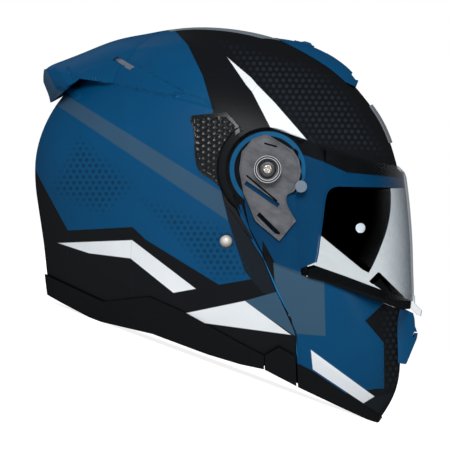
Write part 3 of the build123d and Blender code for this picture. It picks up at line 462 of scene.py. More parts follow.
CHIN_BLADES = [
    ("black", [(262, 240), (274, 262), (296.5, 336), (296.5, 430), (262, 430)]),
    ("black", [(270, 318), (296.5, 336), (374.3, 388.5), (384.5, 387), (384.5, 430), (270, 430)]),
    ("grey", [(272.6, 262), (323, 281), (324.5, 334.7), (296.5, 332.6), (274, 280.5)]),
    # Thin lighter blue lines along the chin bar's edge: painted highlights.
    ("edge_blue", [(240, 224), (262.5, 256), (276.5, 287), (291, 318), (289.5, 320), (274, 290), (258, 258)]),
    ("edge_blue", [(291, 318), (295, 334), (297, 357.7), (294, 357.7), (292, 334), (289, 320)]),
    ("black", [(383, 303), (364, 320), (383, 342.1), (460, 342.1), (460, 300)]),
    ("black", [(383, 341.9), (460, 341.9), (460, 388.6), (384, 388.6)]),
    ("chin_dots", [(384, 306), (440, 306), (440, 385), (386, 385)]),
    ("black", [(374, 388.4), (460, 388.4), (460, 440), (374, 440)]),
    ("white", [(310, 348.6), (374, 396), (363, 402.6), (312, 368)]),
    ("slate", [(362.5, 404), (375, 396.6), (394.6, 393), (378.6, 413)]),
]


def inside_blade(right, down, corners, soft=SOFT_EDGE):
    """1 inside a convex outline or a circle (right, down, radius): the least distance to the edge, turned to
    a share over a soft edge."""
    if np.ndim(corners) == 1:
        u, v = right - corners[0], down - corners[1]
        return (corners[2] - (u * u + v * v).math("SQRT")).ramp(-soft, soft)
    corners = np.asarray(corners, float)
    following = np.roll(corners, -1, axis=0)
    area = np.sum(corners[:, 0] * following[:, 1] - following[:, 0] * corners[:, 1])
    nearest = None
    for (x0, y0), (x1, y1) in zip(corners, following):
        length = math.hypot(x1 - x0, y1 - y0) * (1 if area > 0 else -1)
        across, along = (y0 - y1) / length, (x1 - x0) / length
        distance = right * float(across) + (down * float(along) - float(x0 * across + y0 * along))
        nearest = distance if nearest is None else nearest.least(distance)
    return nearest.ramp(-soft, soft)


def dot_grid(right, down, pitch, size):
    """A plain grid of small rounds: 1 in a round, 0 between. Its rows are staggered and 0.866 of the pitch
    apart, whose square, 0.75, brings the distance down the rows to the same scale."""
    row = down / (pitch * 0.866)
    shift = row.math("FLOOR").math("MODULO", 2.0) * 0.5
    u = (right / pitch + shift).math("FRACT") - 0.5
    v = row.math("FRACT") - 0.5
    distance = (u * u + v * v * 0.75).math("SQRT")
    return 1 - distance.ramp(size - 0.05, size + 0.05)


def paint(name, blades):
    """Satin paint: blades over blue in their order, then orange peel and scuffs. Some blades are a faint dot
    grid, and the crest is outlined from above, by its places along and aside of the crown."""
    finish = Finish(name)
    right, down = finish.view_axes()
    aside = finish.axes()[1].math("ABSOLUTE") / UNIT
    colour = ink(INKS["blue"])
    dots = dot_grid(right, down, DOT_PITCH, DOT_SIZE)
    for tone, corners in blades:
        if tone == "crest":
            stripe = inside_blade(right, aside, corners) * (CREST_FOOT - down).ramp(-SOFT_EDGE, SOFT_EDGE)
            colour = finish.mix(stripe, colour, ink(INKS[tone]))
        elif tone in DOTS:
            patch = inside_blade(right, down, corners, DOT_FADE) * dots
            colour = finish.mix(patch, colour, ink(DOTS[tone]))
        else:
            colour = finish.mix(inside_blade(right, down, corners), colour, ink(INKS[tone]))
    flow = finish.noise(14, 3.0)
    cloud = finish.mix(flow.ramp(0.35, 0.7) * 0.12, colour, ink("000000"))
    peel = finish.noise(900, 1.0)
    scuff = finish.noise(220, 4.0, 0.7, (1, 1, 6)).ramp(0.62, 0.75)
    rough = scuff * 0.1 + (flow * 0.08 + 0.36)
    return finish.satin(cloud, rough, finish.bump(peel, 0.000008), 0.006)


shell_paint = paint("shell_paint", SHELL_BLADES)
chin_paint = paint("chin_paint", CHIN_BLADES)
vent_paint = paint("vent_paint", [])
print("paint mixed:", len(SHELL_BLADES) + len(CHIN_BLADES), "blades")

# %% [markdown]
# ## Moulded and rubber finishes
# Trim is ABS with a fine leather grain, glossy parts are polished, seals are dull rubber with a dusty
# bloom, and the impact liner is expanded foam whose beads show as cells. Each finish is a small recipe of
# noise for its colour, its roughness and a bump of the real grain's size.

# %% Plastics, rubber and foam
def moulded(name, colour, rough, grain_scale, grain_depth, shine=0.006, streak=0.1):
    """Moulded plastic: an uneven tone, a grain of the given scale and depth, and lighter rubbed spots."""
    finish = Finish(name)
    tone = finish.noise(35, 3.0).ramp(0.3, 0.7)
    rub = finish.noise(160, 5.0, 0.7, (1, 1, 4)).ramp(0.6, 0.78)
    base = finish.mix(tone * 0.25, ink(colour), ink("05070a"))
    base = finish.mix(rub * streak, base, ink("50565c"))
    grain = finish.cells(grain_scale).ramp(0.0, 0.7) * 0.6 + finish.noise(grain_scale * 2, 2.0) * 0.4
    return finish.satin(base, rub * 0.12 + (tone * 0.1 + rough), finish.bump(grain, grain_depth), shine)


black_trim = moulded("black_trim", "07090c", 0.42, 1500, 0.00004, 0.005, 0.04)
gloss_black = moulded("gloss_black", "06080b", 0.12, 900, 0.000008, 0.011, 0.02)
slate_plastic = moulded("slate_plastic", "5c626a", 0.24, 1100, 0.00001, 0.05, 0.04)
clear_knob = moulded("clear_knob", "8394a5", 0.08, 1100, 0.00001, 0.14, 0.04)
dark_frame = moulded("dark_frame", "5c6570", 0.4, 1200, 0.00004, 0.03)
buckle_red = moulded("buckle_red", "a81217", 0.34, 1300, 0.00003, 0.03, 0.05)


def rubber_finish(name, colour, painted=()):
    """Dull rubber: fine pores, a pale bloom in patches, and the shell's blue inside the painted outlines."""
    finish = Finish(name)
    bloom = finish.noise(90, 4.0, 0.65).ramp(0.5, 0.8)
    base = finish.mix(bloom * 0.15, ink(colour), ink("2a2d30"))
    right, down = finish.view_axes()
    for corners in painted:
        base = finish.mix(inside_blade(right, down, corners), base, ink(INKS["blue"]))
    return finish.satin(base, bloom * 0.1 + 0.6, finish.bump(finish.noise(2600, 2.0), 0.00004), 0.004)


def foam_finish():
    """Expanded foam: beads 3 mm wide that swell between their borders, each with its own tone."""
    finish = Finish("bead_foam")
    border = finish.cells(330, "DISTANCE_TO_EDGE").ramp(0.0, 0.16)
    base = finish.mix(border, ink("0c0d0f"), ink("212326"))
    base = finish.mix(finish.noise(300, 1.0).ramp(0.4, 0.7) * 0.3, base, ink("35383c"))
    return finish.satin(base, border * 0.15 + 0.6, finish.bump(border, 0.0003), 0.008)


RIM_BAND = [
    [(280, 150), (300, 154.5), (322, 162.5), (346, 173.5), (346, 300), (280, 300)],
    [(345, 173.2), (405, 178.5), (405, 300), (345, 300)],
]
seal_rubber = rubber_finish("seal_rubber", "07090b")
rim_rubber = rubber_finish("rim_rubber", "07090b", RIM_BAND)
bead_foam = foam_finish()

# %% [markdown]
# ## Metal
# Screws and strikers are zinc plated or brushed steel, and the lock rings are bright chrome. Brushing is
# a noise stretched along one direction, which changes both roughness and height. Chrome has only faint
# cloudy wear.

# %% Steel and chrome
def metal(name, colour, rough, brush, depth):
    """Metal with brushed lines and cloudy handling marks."""
    finish = Finish(name)
    lines = finish.noise(brush, 3.0, 0.6, (1, 1, 12))
    marks = finish.noise(120, 4.0, 0.6).ramp(0.45, 0.75)
    base = finish.mix(marks * 0.3, ink(colour), ink("6c6f73"))
    return finish.end(finish.node("ShaderNodeBsdfPrincipled", None, {
        "Base Color": base, "Metallic": 1.0, "Roughness": lines * 0.14 + (marks * 0.12 + rough),
        "Normal": finish.bump(lines, depth)}))


# The middle of the rivet's painted highlight in the side view.
RIVET_PAINTED_HIGHLIGHT = (225.5, 239.7)


def domed_rivet():
    """A pressed steel dome: a painted highlight on its crown, and painted shade darkening it towards its rim.
    """
    finish = Finish("domed_rivet")
    right, down = finish.view_axes()
    u, v = right - RIVET_PAINTED_HIGHLIGHT[0], down - RIVET_PAINTED_HIGHLIGHT[1]
    # The crown's pale colour is a painted highlight, and the dark rim colour is painted shade.
    rim = (u * u + v * v).math("SQRT").ramp(1.2, 7.6)
    base = finish.mix(rim, ink("d6d2cd"), ink("24211f"))
    marks = finish.noise(400, 3.0, 0.6)
    return finish.satin(base, marks * 0.1 + 0.2, finish.bump(marks, 0.000005), 0.05)


rivet_steel = domed_rivet()
steel = metal("plated_steel", "8f8c89", 0.2, 500, 0.00001)
chrome = metal("chrome", "e3e5e8", 0.06, 900, 0.000004)

# %% [markdown]
# ## Cloth and webbing
# The lining is brushed knit over soft foam, and the chin strap is woven polyester webbing. Sine waves on
# the object's own places make the threads, so no unwrapped map is needed, and the sheen softens the
# edges.

# %% Knit, mesh and webbing
def threads(finish, pitch, axis_a, axis_b):
    """Woven threads: the product of two sines of the places along two axes, from 0 to 1."""
    waves = []
    for axis in (axis_a, axis_b):
        pair = {0: finish.place, 1: axis}
        along = finish.node("ShaderNodeVectorMath", {"operation": "DOT_PRODUCT"}, pair, "Value")
        waves.append((along * (2 * math.pi / pitch)).math("SINE"))
    return waves[0] * waves[1] * 0.5 + 0.5


def cloth(name, colour, light, pitch, depth, axes=((1, 0.35, 0), (0, 0.35, 1))):
    """Cloth: threads, a fuzzy tone, and a soft sheen."""
    finish = Finish(name)
    weave = threads(finish, pitch, *axes)
    fuzz = finish.noise(1400, 3.0, 0.6)
    base = finish.mix(weave * 0.5 + fuzz * 0.3, ink(colour), ink(light))
    return finish.satin(base, fuzz * 0.15 + 0.7, finish.bump(weave + fuzz * 0.4, depth), 0.004, sheen=0.2)


lining = cloth("brushed_knit", "0e1013", "2a2d32", 0.0011, 0.0002)
lining_grey = cloth("grey_mesh_knit", "32363b", "5a5f65", 0.0018, 0.0003)
webbing = cloth("strap_webbing", "0c0d10", "2c2f34", 0.0016, 0.00025, ((1, 1, 0), (1, -1, 0)))

# %% [markdown]
# ## Clear plastics
# The visor and the drop-down sun visor are thin polycarbonate. Light passes straight through such a
# sheet, with a little tint and more mirror towards its edges, so a transparent shader and a gloss shader
# mixed by how far the sheet turns away do it without slow refraction. The pivot base plates are milky
# grey plastic, which shows what lies under it only faintly.

# %% Visor, sun visor and base plate
LEAST_MIRROR = 0.002


def thin_sheet(name, tint, slanting, gloss_rough, mirror, haze):
    """A thin clear sheet: it passes its tint face on and the darker tone where light slants through. It
    mirrors from a slant on, and faint wiping marks darken it."""
    finish = Finish(name)
    marks = finish.noise(60, 5.0, 0.6, (1, 1, 3)).ramp(0.4, 0.8)
    gloss = finish.node("ShaderNodeBsdfGlossy", None, {"Color": WHITE, "Roughness": gloss_rough})
    facing = finish.node("ShaderNodeLayerWeight", None, {"Blend": 0.5}, "Facing")
    face, slant = [finish.node("ShaderNodeBsdfTransparent", None, {"Color": ink(tone)})
                   for tone in (tint, slanting)]
    dark = facing.math("POWER", 3.0) + marks * haze
    clear = finish.node("ShaderNodeMixShader", None, {0: dark, 1: face, 2: slant})
    rim = (facing.math("POWER", 4.0) * mirror - LEAST_MIRROR).most(0.0)
    return finish.end(finish.node("ShaderNodeMixShader", None, {0: rim, 1: clear, 2: gloss}))


clear_sheet = thin_sheet("clear_visor", "f3f5f6", "8b939b", 0.08, 0.12, 0.04)
dark_sheet = thin_sheet("tinted_visor", "33373c", "181b1f", 0.08, 0.03, 0.04)


def milky_plate():
    """Smoked grey base plate plastic: partly see-through, with moulding flow lines and a sharp gloss."""
    finish = Finish("plate_grey")
    flow = finish.noise(90, 3.0, 0.6, (1, 1, 2))
    base = finish.mix(flow.ramp(0.3, 0.7), ink("6f6d70"), ink("8b888b"))
    solid = finish.node("ShaderNodeBsdfPrincipled", None, {
        "Base Color": base, "Roughness": flow * 0.1 + 0.14, "Specular IOR Level": 0.15,
        "Normal": finish.bump(flow, 0.00002)})
    clear = finish.node("ShaderNodeBsdfTransparent", None, {"Color": ink("9a9da1")})
    return finish.end(finish.node("ShaderNodeMixShader", None, {0: flow * 0.1 + 0.82, 1: clear, 2: solid}))


plate_grey = milky_plate()
print("finishes:", len(bpy.data.materials))

# %% [markdown]
# ## The painted shells
# The shell's skin isn't one plain dome: a wing and a wedge are raised behind the crown, and soft creases
# run down to the strap. Each raised field is a many-sided outline in the side view. A point's height
# comes from its signed distance to the outline, through a smooth step, and only skin that faces outwards
# is moved. A field is written as its rise in metres, the width of its edge in view units and its outline,
# and a crease as its rise, its width and the two ends of its line.

# %% Heights of creases
def outline_distance(right, down, corners):
    """Distance to an outline, positive inside: the least one to its edges, signed by counting crossings."""
    corners = np.asarray(corners, float)
    following = np.roll(corners, -1, axis=0)
    edge = following - corners
    place = np.stack([right, down], 1)[:, None, :] - corners[None]
    share = np.clip((place * edge).sum(2) / (edge ** 2).sum(1), 0, 1)
    nearest = np.linalg.norm(place - share[..., None] * edge, axis=2).min(1)
    crosses = (corners[:, 1] > down[:, None]) != (following[:, 1] > down[:, None])
    level = np.where(np.abs(edge[:, 1]) < 1e-9, 1e-9, edge[:, 1])
    meets = corners[:, 0] + (down[:, None] - corners[:, 1]) / level * edge[:, 0]
    return nearest * np.where((crosses & (right[:, None] < meets)).sum(1) % 2 == 1, 1, -1)


def smooth_step(values, width):
    """0 to 1 across a width about zero, level at both ends: 3t squared less 2t cubed."""
    share = np.clip(values / width + 0.5, 0, 1)
    return share * share * (3 - 2 * share)


def fold(right, down, start, end):
    """The distance across the line from start to end, and a share that fades from 1 at its ends."""
    (x0, y0), (x1, y1) = start, end
    length = math.hypot(x1 - x0, y1 - y0)
    along = ((right - x0) * (x1 - x0) + (down - y0) * (y1 - y0)) / length
    across = ((right - x0) * (y1 - y0) - (down - y0) * (x1 - x0)) / length
    ends = smooth_step(along, length * 0.2) * smooth_step(length - along, length * 0.2)
    return across, ends


HEAD_MIDDLE = np.array((-0.02, 0, 0.14))
RAISED = [
    (0.0022, 1.8, [(76, 76.4), (171.5, 98.2), (183.5, 93), (138, 67.7), (131, 71), (116, 60), (96, 66)]),
    (0.0015, 1.8, [(44, 69), (67.7, 67), (81, 96.5), (79, 99), (60, 86), (50, 104), (42, 100)]),
    (-0.0010, 1.6, [(172, 98), (184, 93.5), (206, 100.5), (213.5, 110), (208, 108)]),
]
CREASES = [
    (0.0007, 7, (125, 93), (127, 150)),
    (0.0006, 12, (90, 200), (215, 285)),
    (0.0009, 3, (56.5, 68.4), (76, 91.6)),
    (0.0009, 4, (129, 49), (187, 45.7)),
    (0.0006, 9, (60, 250), (205, 322)),
    (0.0005, 8, (256, 60), (372, 150)),
]


CHIN_MIDDLE = np.array((0.05, 0, 0.11))
CHIN_FACETS = [
    (0.0007, 4, [(300, 344), (377, 398), (377, 412), (296, 370)]),
    (-0.0006, 3, [(383, 303), (364, 320), (383, 342), (396, 338), (396, 309)]),
]


def raised_fields(right, down, fields):
    """The heights of many-sided fields added up, each through a smooth step of its own width."""
    height = np.zeros(len(right))
    for rise, width, corners in fields:
        height += rise * smooth_step(outline_distance(right, down, corners), width)
    return height


def facing_away(points, out, middle, least):
    """1 where the skin's direction leads away from the middle by more than the least share, else 0."""
    away = points - middle
    away /= np.linalg.norm(away, axis=1, keepdims=True)
    return smooth_step((out * away).sum(1) - least, 0.3)


def shell_relief(points, out):
    """Raised fields and creases added up, on skin whose direction leads away from the middle of the head."""
    right, down = side_view(points)
    height = raised_fields(right, down, RAISED)
    for rise, width, start, end in CREASES:
        across, ends = fold(right, down, start, end)
        height += rise * np.exp(-(across / width) ** 2) * ends
    return height * facing_away(points, out, HEAD_MIDDLE, 0.45)


def chin_relief(points, out):
    """The chin bar's facets: a raised lower blade and a sunk front field, on outward skin only."""
    right, down = side_view(points)
    return raised_fields(right, down, CHIN_FACETS) * facing_away(points, out, CHIN_MIDDLE, 0.4)


dressed("outer_shell", shell_paint, 0.0031, shell_relief, middle=HEAD_MIDDLE)
dressed("chin_bar", chin_paint, 0.0025, chin_relief)
dressed("rear_spoiler", shell_paint, 0.0026, shell_relief)
dressed("top_vent_housing", vent_paint, 0.0030)
dressed("chin_vent_housing", vent_paint, 0.0030)

# %% [markdown]
# ## Honeycomb side panels
# Behind each visor pod sits a gloss black panel of small hexagonal tiles. Its skin is refined to under a
# millimetre, and each point near the border of its hexagon is lowered, so the tiles stay up and each
# catches its own highlight.

# %% Honeycomb relief
def hexagon_edge(u, v):
    """Distance to the nearest wall of a unit honeycomb: two grids of centres, the nearer centre, then the
    largest of three projections taken from half a cell."""
    step = np.array((1.0, math.sqrt(3)))
    place = np.stack([u, v], 1)
    first = (place % step) - step / 2
    second = ((place + step / 2) % step) - step / 2
    near = np.where((first ** 2).sum(1)[:, None] < (second ** 2).sum(1)[:, None], first, second)
    reach = np.abs(near)
    return 0.5 - np.maximum(reach[:, 0], reach[:, 0] * 0.5 + reach[:, 1] * math.sqrt(3) / 2)


TILE = 6.3
GROOVE_DEPTH = 0.0007
SKIN_DROP = 0.0004
PANEL_BORDER = [(194, 119), (225, 117), (241, 133), (224, 165), (232, 196), (251, 236), (237, 212),
                (211, 176), (203, 171), (196, 151)]


def panel_relief(points, out):
    """Pillow tiles 5 mm wide on a skin 0.4 mm lower, with grooves 0.7 mm deep between them: a groove's share
    is one less the root of the distance from the tile's edge. The border of the panel has no grooves, and
    skin that turns away keeps its place."""
    right, down = side_view(points)
    groove = 1 - np.sqrt(np.clip(hexagon_edge(down / TILE, right / TILE) * 2.4, 0, 1))
    border = smooth_step(outline_distance(right, down, PANEL_BORDER) - 1.0, 1.5)
    outer = out[:, 1] * np.sign(points[:, 1])
    lower = -SKIN_DROP * smooth_step(outer - 0.2, 0.3)
    return lower - GROOVE_DEPTH * groove * border * smooth_step(outer - 0.6, 0.3)


for side in ("right", "left"):
    dressed("side_panel_" + side, gloss_black, 0.0006, panel_relief, sharp=60)

# %% [markdown]
# ## Visors, seals and hard parts
# Parts whose solids already have the right form get smooth working copies, so that their curves shine
# without facets, and each takes the finish of its own material. The small metal parts keep the solid's
# own mesh.

# %% Smooth copies
SMOOTH = {
    "visor": (clear_sheet, "clear_visor"), "sun_visor": (dark_sheet, "tinted_visor"),
    "visor_base_plate_right": (plate_grey, "plate_grey"), "visor_base_plate_left": (plate_grey, "plate_grey"),
    "base_trim": (black_trim, "black_trim"), "chin_bar_trim": (black_trim, "black_trim"),
    "trim_end_cap_right": (black_trim, "black_trim"), "trim_end_cap_left": (black_trim, "black_trim"),
    "window_seal": (rim_rubber, "rubber"), "chin_seal": (seal_rubber, "rubber"),
    "brow_scoop": (slate_plastic, "slate_plastic"), "eps_liner": (bead_foam, "foam"),
    "chin_bar_liner": (bead_foam, "foam"), "breath_deflector": (black_trim, "black_trim"),
    "top_vent_slider": (vent_paint, "shell_paint"), "chin_vent_slider": (vent_paint, "shell_paint"),
}
for node, (finish, slot) in SMOOTH.items():
    dressed(node, finish, 0.006)

# %% [markdown]
# ## Round parts and tubes
# A lock ring and a screw are profiles turned about an axis that runs across the helmet. A bead or a rib
# is a round section carried along a path. Both are grids of points worked out at once, with their faces
# joined round.

# %% Turned profiles and beads
def grid_faces(rows, columns):
    """Quads of a grid whose columns run round: each cell joins its neighbours, the last column the first."""
    row, column = np.meshgrid(np.arange(rows - 1), np.arange(columns), indexing="ij")
    row, column = row.ravel(), column.ravel()
    next_row, next_column = row + 1, (column + 1) % columns
    corners = (row * columns + column, row * columns + next_column,
               next_row * columns + next_column, next_row * columns + column)
    return np.stack(corners, 1)


def turned(profile, centre, side, count=72, carve=None):
    """Turns (radius, height) points about the line across the helmet through centre (x, z). Height is the
    distance from the middle plane, on the given side, and carve(u, v) lowers it on the face."""
    profile = np.asarray(profile, float)
    angle = np.linspace(0, 2 * math.pi, count, endpoint=False)
    radius, height = profile[:, :1], np.repeat(profile[:, 1:], count, axis=1)
    u, v = radius * np.cos(angle), radius * np.sin(angle)
    if carve:
        height = height - carve(u, v)
    points = np.stack([centre[0] + u, side * height, centre[1] + v], 2).reshape(-1, 3)
    faces = grid_faces(len(profile), count)
    return points, faces[:, ::-1] if side > 0 else faces


def bead(path, radius, sides=8):
    """A tube along a path with rounded ends: circles square to the path, shrunk over the end radius."""
    path = np.asarray(path, float)
    lead = np.gradient(path, axis=0)
    lead /= np.linalg.norm(lead, axis=1, keepdims=True)
    across = np.tile((0.0, 1.0, 0.0), (len(path), 1))
    first = np.cross(lead, across)
    first /= np.linalg.norm(first, axis=1, keepdims=True)
    second = np.cross(lead, first)
    run = np.concatenate([[0], np.cumsum(np.linalg.norm(np.diff(path, axis=0), axis=1))])
    end = np.clip(np.minimum(run, run[-1] - run) / radius, 0.001, 1)
    swell = radius * np.sqrt(1 - (1 - end) ** 2)
    angle = np.linspace(0, 2 * math.pi, sides, endpoint=False)[None, :, None]
    ring = first[:, None] * np.cos(angle) + second[:, None] * np.sin(angle)
    points = (path[:, None] + ring * swell[:, None, None]).reshape(-1, 3)
    return points, grid_faces(len(path), sides)


def together(parts):
    """Several (points, faces) as one, each with its corner numbers moved on."""
    start = np.cumsum([0] + [len(points) for points, _ in parts[:-1]])
    return np.vstack([p for p, _ in parts]), np.vstack([f + s for (_, f), s in zip(parts, start)])


def corners_cut(line, share, rounds=3):
    """Smooths a line: each run gives two points, the share away from either end. The line's own ends stay."""
    line = np.asarray(line, float)
    for _ in range(rounds):
        start, end = line[:-1], line[1:]
        cut = np.stack([start * (1 - share) + end * share, start * share + end * (1 - share)], 1)
        line = np.vstack([line[:1], cut.reshape(-1, 2), line[-1:]])
    return line


def even_steps(path, spacing, least=2):
    """The same path set out again at even steps of about the spacing, and its length."""
    run = np.concatenate([[0], np.cumsum(np.linalg.norm(np.diff(path, axis=0), axis=1))])
    even = np.linspace(0, run[-1], max(int(run[-1] / spacing), least))
    return np.stack([np.interp(even, run, values) for values in path.T], 1), run[-1]


def flank_path(view_points, height, side, spacing=0.0006):
    """A smooth path on a flank, at one height from the middle plane, from its points in the side view."""
    line = corners_cut(view_points, 0.25)
    x, z = standing(line[:, 0], line[:, 1])
    path, _ = even_steps(np.stack([x, np.full(len(x), side * height), z], 1), spacing, least=8)
    return path


# %% [markdown]
# ## The visor's mechanism
# A chrome ring with two beads holds each visor, and a crosshead screw in its middle carries the chin bar.
# Heights in the profiles are distances from the helmet's middle plane. The base plate's rim, ribs and
# toothed detent edge are beads along paths in the side view.

# %% Lock rings, screws and base plate beads
RING_PROFILE = [(.0087, .1269), (.0087, .1276), (.0089, .1280), (.0092, .1280), (.0094, .1276),
                (.0096, .1274), (.0102, .1274), (.0104, .1276), (.0106, .1280), (.0109, .1280),
                (.0111, .1276), (.0111, .1269), (.0087, .1269)]
SCREW_PROFILE = [(.0001, .1091), (.0030, .1091), (.0030, .1205), (.0070, .1205), (.0070, .1214),
                 (.0066, .1217), (.0037, .1217), (.0036, .1224), (.0033, .1227), (.0029, .1228),
                 (.0022, .1228), (.0017, .1228), (.0012, .1228), (.0007, .1228), (.0003, .1228),
                 (.0001, .1228)]
PLATE_RIM = [(252, 141), (266, 136), (279, 144), (291, 153), (297, 163), (298, 176), (293, 188),
             (285, 195), (284.5, 204), (294, 221), (278.5, 239.5), (256, 220), (244, 193),
             (240, 170), (242.5, 153), (252, 141)]
RIBS = [[(245.5, 175.5), (277, 202)], [(257, 213), (280, 235)], [(263, 144), (277, 148)]]
DETENT = [(293, 150), (297, 153), (296, 158), (299.5, 162), (299.5, 168), (298, 171), (300.5, 176),
          (299, 182), (295, 186), (296, 190), (291, 194)]
RIM_HEIGHT, RIM_ROUND = 0.1198, 0.00055
RIB_HEIGHT, RIB_ROUND = 0.1190, 0.0011
DETENT_HEIGHT, DETENT_ROUND = 0.1186, 0.0008
# The ring's valley between its two beads, as distances from the hinge axis; its dark metal is painted shade.
RING_VALLEY = (0.0094, 0.0104)
SCREW_FACE = (0.0, 0.0036)
CRISP = 40


def cross_recess(u, v):
    """The crosshead slot of a small screw: two crossed bars 1.4 by 5.2 mm, with sloping sides."""
    far = np.hypot(u, v)
    bar = np.minimum(np.abs(u), np.abs(v))
    return 0.0013 * smooth_step(0.0007 - bar, 0.0005) * smooth_step(0.0026 - far, 0.0008)


def two_metals(made, near, far, second):
    """Gives the faces whose distance from the hinge axis lies between near and far a second metal."""
    made.data.materials.append(second)
    middles = np.empty(len(made.data.polygons) * 3)
    made.data.polygons.foreach_get("center", middles)
    middles = middles.reshape(-1, 3)
    away = np.hypot(middles[:, 0] - HINGE[0], middles[:, 2] - HINGE[1])
    made.data.polygons.foreach_set("material_index", ((away > near) & (away < far)).astype(np.int32))


shiny_screw = metal("screw_head", "b9b2aa", 0.25, 900, 0.000006)
# A dark metal: the screw's own dark flange, and painted shade in each lock ring's valley.
dark_flange_and_valley_shade = metal("dark_flange_valley_shade", "3c3d40", 0.3, 700, 0.00001)
for name, side in (("right", -1), ("left", 1)):
    ring_body = nodes["visor_lock_ring_" + name]["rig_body"]
    ring = piece("lock_ring_" + name, *turned(RING_PROFILE, HINGE, side), ring_body, chrome, CRISP)
    # The valley between the ring's two chrome beads takes the dark metal as painted shade.
    two_metals(ring, *RING_VALLEY, dark_flange_and_valley_shade)
    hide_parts("visor_lock_ring_" + name)
    screw_body = nodes["pivot_screw_" + name]["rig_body"]
    turned_screw = turned(SCREW_PROFILE, HINGE, side, 96, cross_recess)
    screw = piece("crosshead_screw_" + name, *turned_screw, screw_body, dark_flange_and_valley_shade, CRISP)
    two_metals(screw, *SCREW_FACE, shiny_screw)
    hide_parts("pivot_screw_" + name)
    plate_body = nodes["visor_base_plate_" + name]["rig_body"]
    rim = bead(flank_path(PLATE_RIM, RIM_HEIGHT, side), RIM_ROUND)
    piece("base_plate_rim_" + name, *rim, plate_body, plate_grey, 0)
    ribs = [bead(flank_path(points, RIB_HEIGHT, side), RIB_ROUND) for points in RIBS]
    ribs.append(bead(flank_path(DETENT, DETENT_HEIGHT, side), DETENT_ROUND))
    piece("detent_and_ribs_" + name, *together(ribs), plate_body, black_trim, 0)
print("mechanism pieces: rings, screws, rims and detents on both sides")


# %% [markdown]
# ## Deflector wings
# The breath deflector ends in a thin flat wing on each side of the chin bar's front. A wing is one
# outline in the side view, given a wall, with its two faces closed by fans of triangles.

# %% Flat plates
def plate(view_points, low, high):
    """A flat plate: a convex outline in the side view between two places across the helmet."""
    x, z = standing(*np.asarray(view_points, float).T)
    count = len(x)
    points = np.vstack([np.stack([x, np.full(count, y), z], 1) for y in (low, high)])
    one = np.arange(count)
    two = (one + 1) % count
    walls = np.vstack([np.stack([one, two, two + count], 1), np.stack([one, two + count, one + count], 1)])
    fan = np.stack([np.zeros(count - 2, int), one[1:-1], two[1:-1]], 1)
    return points, np.vstack([walls, fan[:, ::-1], fan + count])


WING = [(371, 282), (380, 272.8), (404.2, 296.8), (403, 303), (397, 300)]
WING_WALL = 0.0012
WING_PLACES = (-0.038, 0.0368)
wings = together([plate(WING, y, y + WING_WALL) for y in WING_PLACES])
piece("deflector_wings", *wings, nodes["breath_deflector"]["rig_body"], black_trim, 20)
print("deflector wings:", len(WING_PLACES))

# %% [markdown]
# ## Padding
# The lining is foam under stretched knit, so it bulges between its seams. Each pad starts from its own
# solid, a little smaller, is remeshed into even quads, and is blown up by a short cloth simulation with
# its movement capped. Sewn channels are pressed in afterwards, because remeshing would remove anything so
# narrow.

# %% Blow up a pad
def evaluated(thing):
    """The mesh of an object with its modifiers applied, as a new mesh."""
    graph = bpy.context.evaluated_depsgraph_get()
    return bpy.data.meshes.new_from_object(thing.evaluated_get(graph))


def vertex_places(mesh):
    """The places of a mesh's corners, one row each."""
    places = np.empty(len(mesh.vertices) * 3)
    mesh.vertices.foreach_get("co", places)
    return places.reshape(-1, 3)


def swap_mesh(thing, mesh):
    """Gives an object a finished mesh in place of its modifiers."""
    thing.modifiers.clear()
    thing.data = mesh


BLOW_FRAMES = 20


def blown_pad(node, finish, seams, voxel=0.005, shrink=0.0012, cap=0.003):
    """A padded piece from its node: shrunk, remeshed, blown up, capped, subdivided and then seamed."""
    points, faces = joined(node)
    points = points - outward(points, faces) * shrink
    pad = piece(node + "_padded", points, faces, nodes[node]["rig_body"], finish, 0)
    remesh = pad.modifiers.new("even quads", "REMESH")
    remesh.mode, remesh.voxel_size = "VOXEL", voxel
    swap_mesh(pad, evaluated(pad))
    rest = vertex_places(pad.data)
    blow = pad.modifiers.new("blow", "CLOTH").settings
    blow.use_pressure = True
    blow.uniform_pressure_force = 4
    blow.effector_weights.gravity = 0
    blow.quality = 4
    for frame_number in range(1, BLOW_FRAMES + 1):
        scene.frame_set(frame_number)
    swap_mesh(pad, evaluated(pad))
    scene.frame_set(1)
    move = vertex_places(pad.data) - rest
    far = np.linalg.norm(move, axis=1, keepdims=True)
    capped = rest + move * np.minimum(1, cap / np.maximum(far, 1e-9))
    pad.data.vertices.foreach_set("co", capped.ravel())
    soften = pad.modifiers.new("finer", "SUBSURF")
    soften.levels = soften.render_levels = 1
    swap_mesh(pad, evaluated(pad))
    places = vertex_places(pad.data)
    normals = np.empty(len(places) * 3)
    pad.data.vertices.foreach_get("normal", normals)
    pressed = places - normals.reshape(-1, 3) * seams(places)[:, None]
    pad.data.vertices.foreach_set("co", pressed.ravel())
    pad.data.polygons.foreach_set("use_smooth", np.ones(len(pad.data.polygons), bool))
    pad.data.materials.clear()
    pad.data.materials.append(finish)
    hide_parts(node)
    print(f"{pad.name}: {len(pad.data.polygons)} faces, blown up by {far.max() * 1000:.1f} mm before the cap")


def channels(lines, depth=0.0016, width=0.0035):
    """Sewn channels: a groove of bell section along each plane, given as a function of the places."""
    def press(places):
        """How deep each place is pressed in."""
        return depth * sum(np.exp(-(line(places) / width) ** 2) for line in lines)
    return press


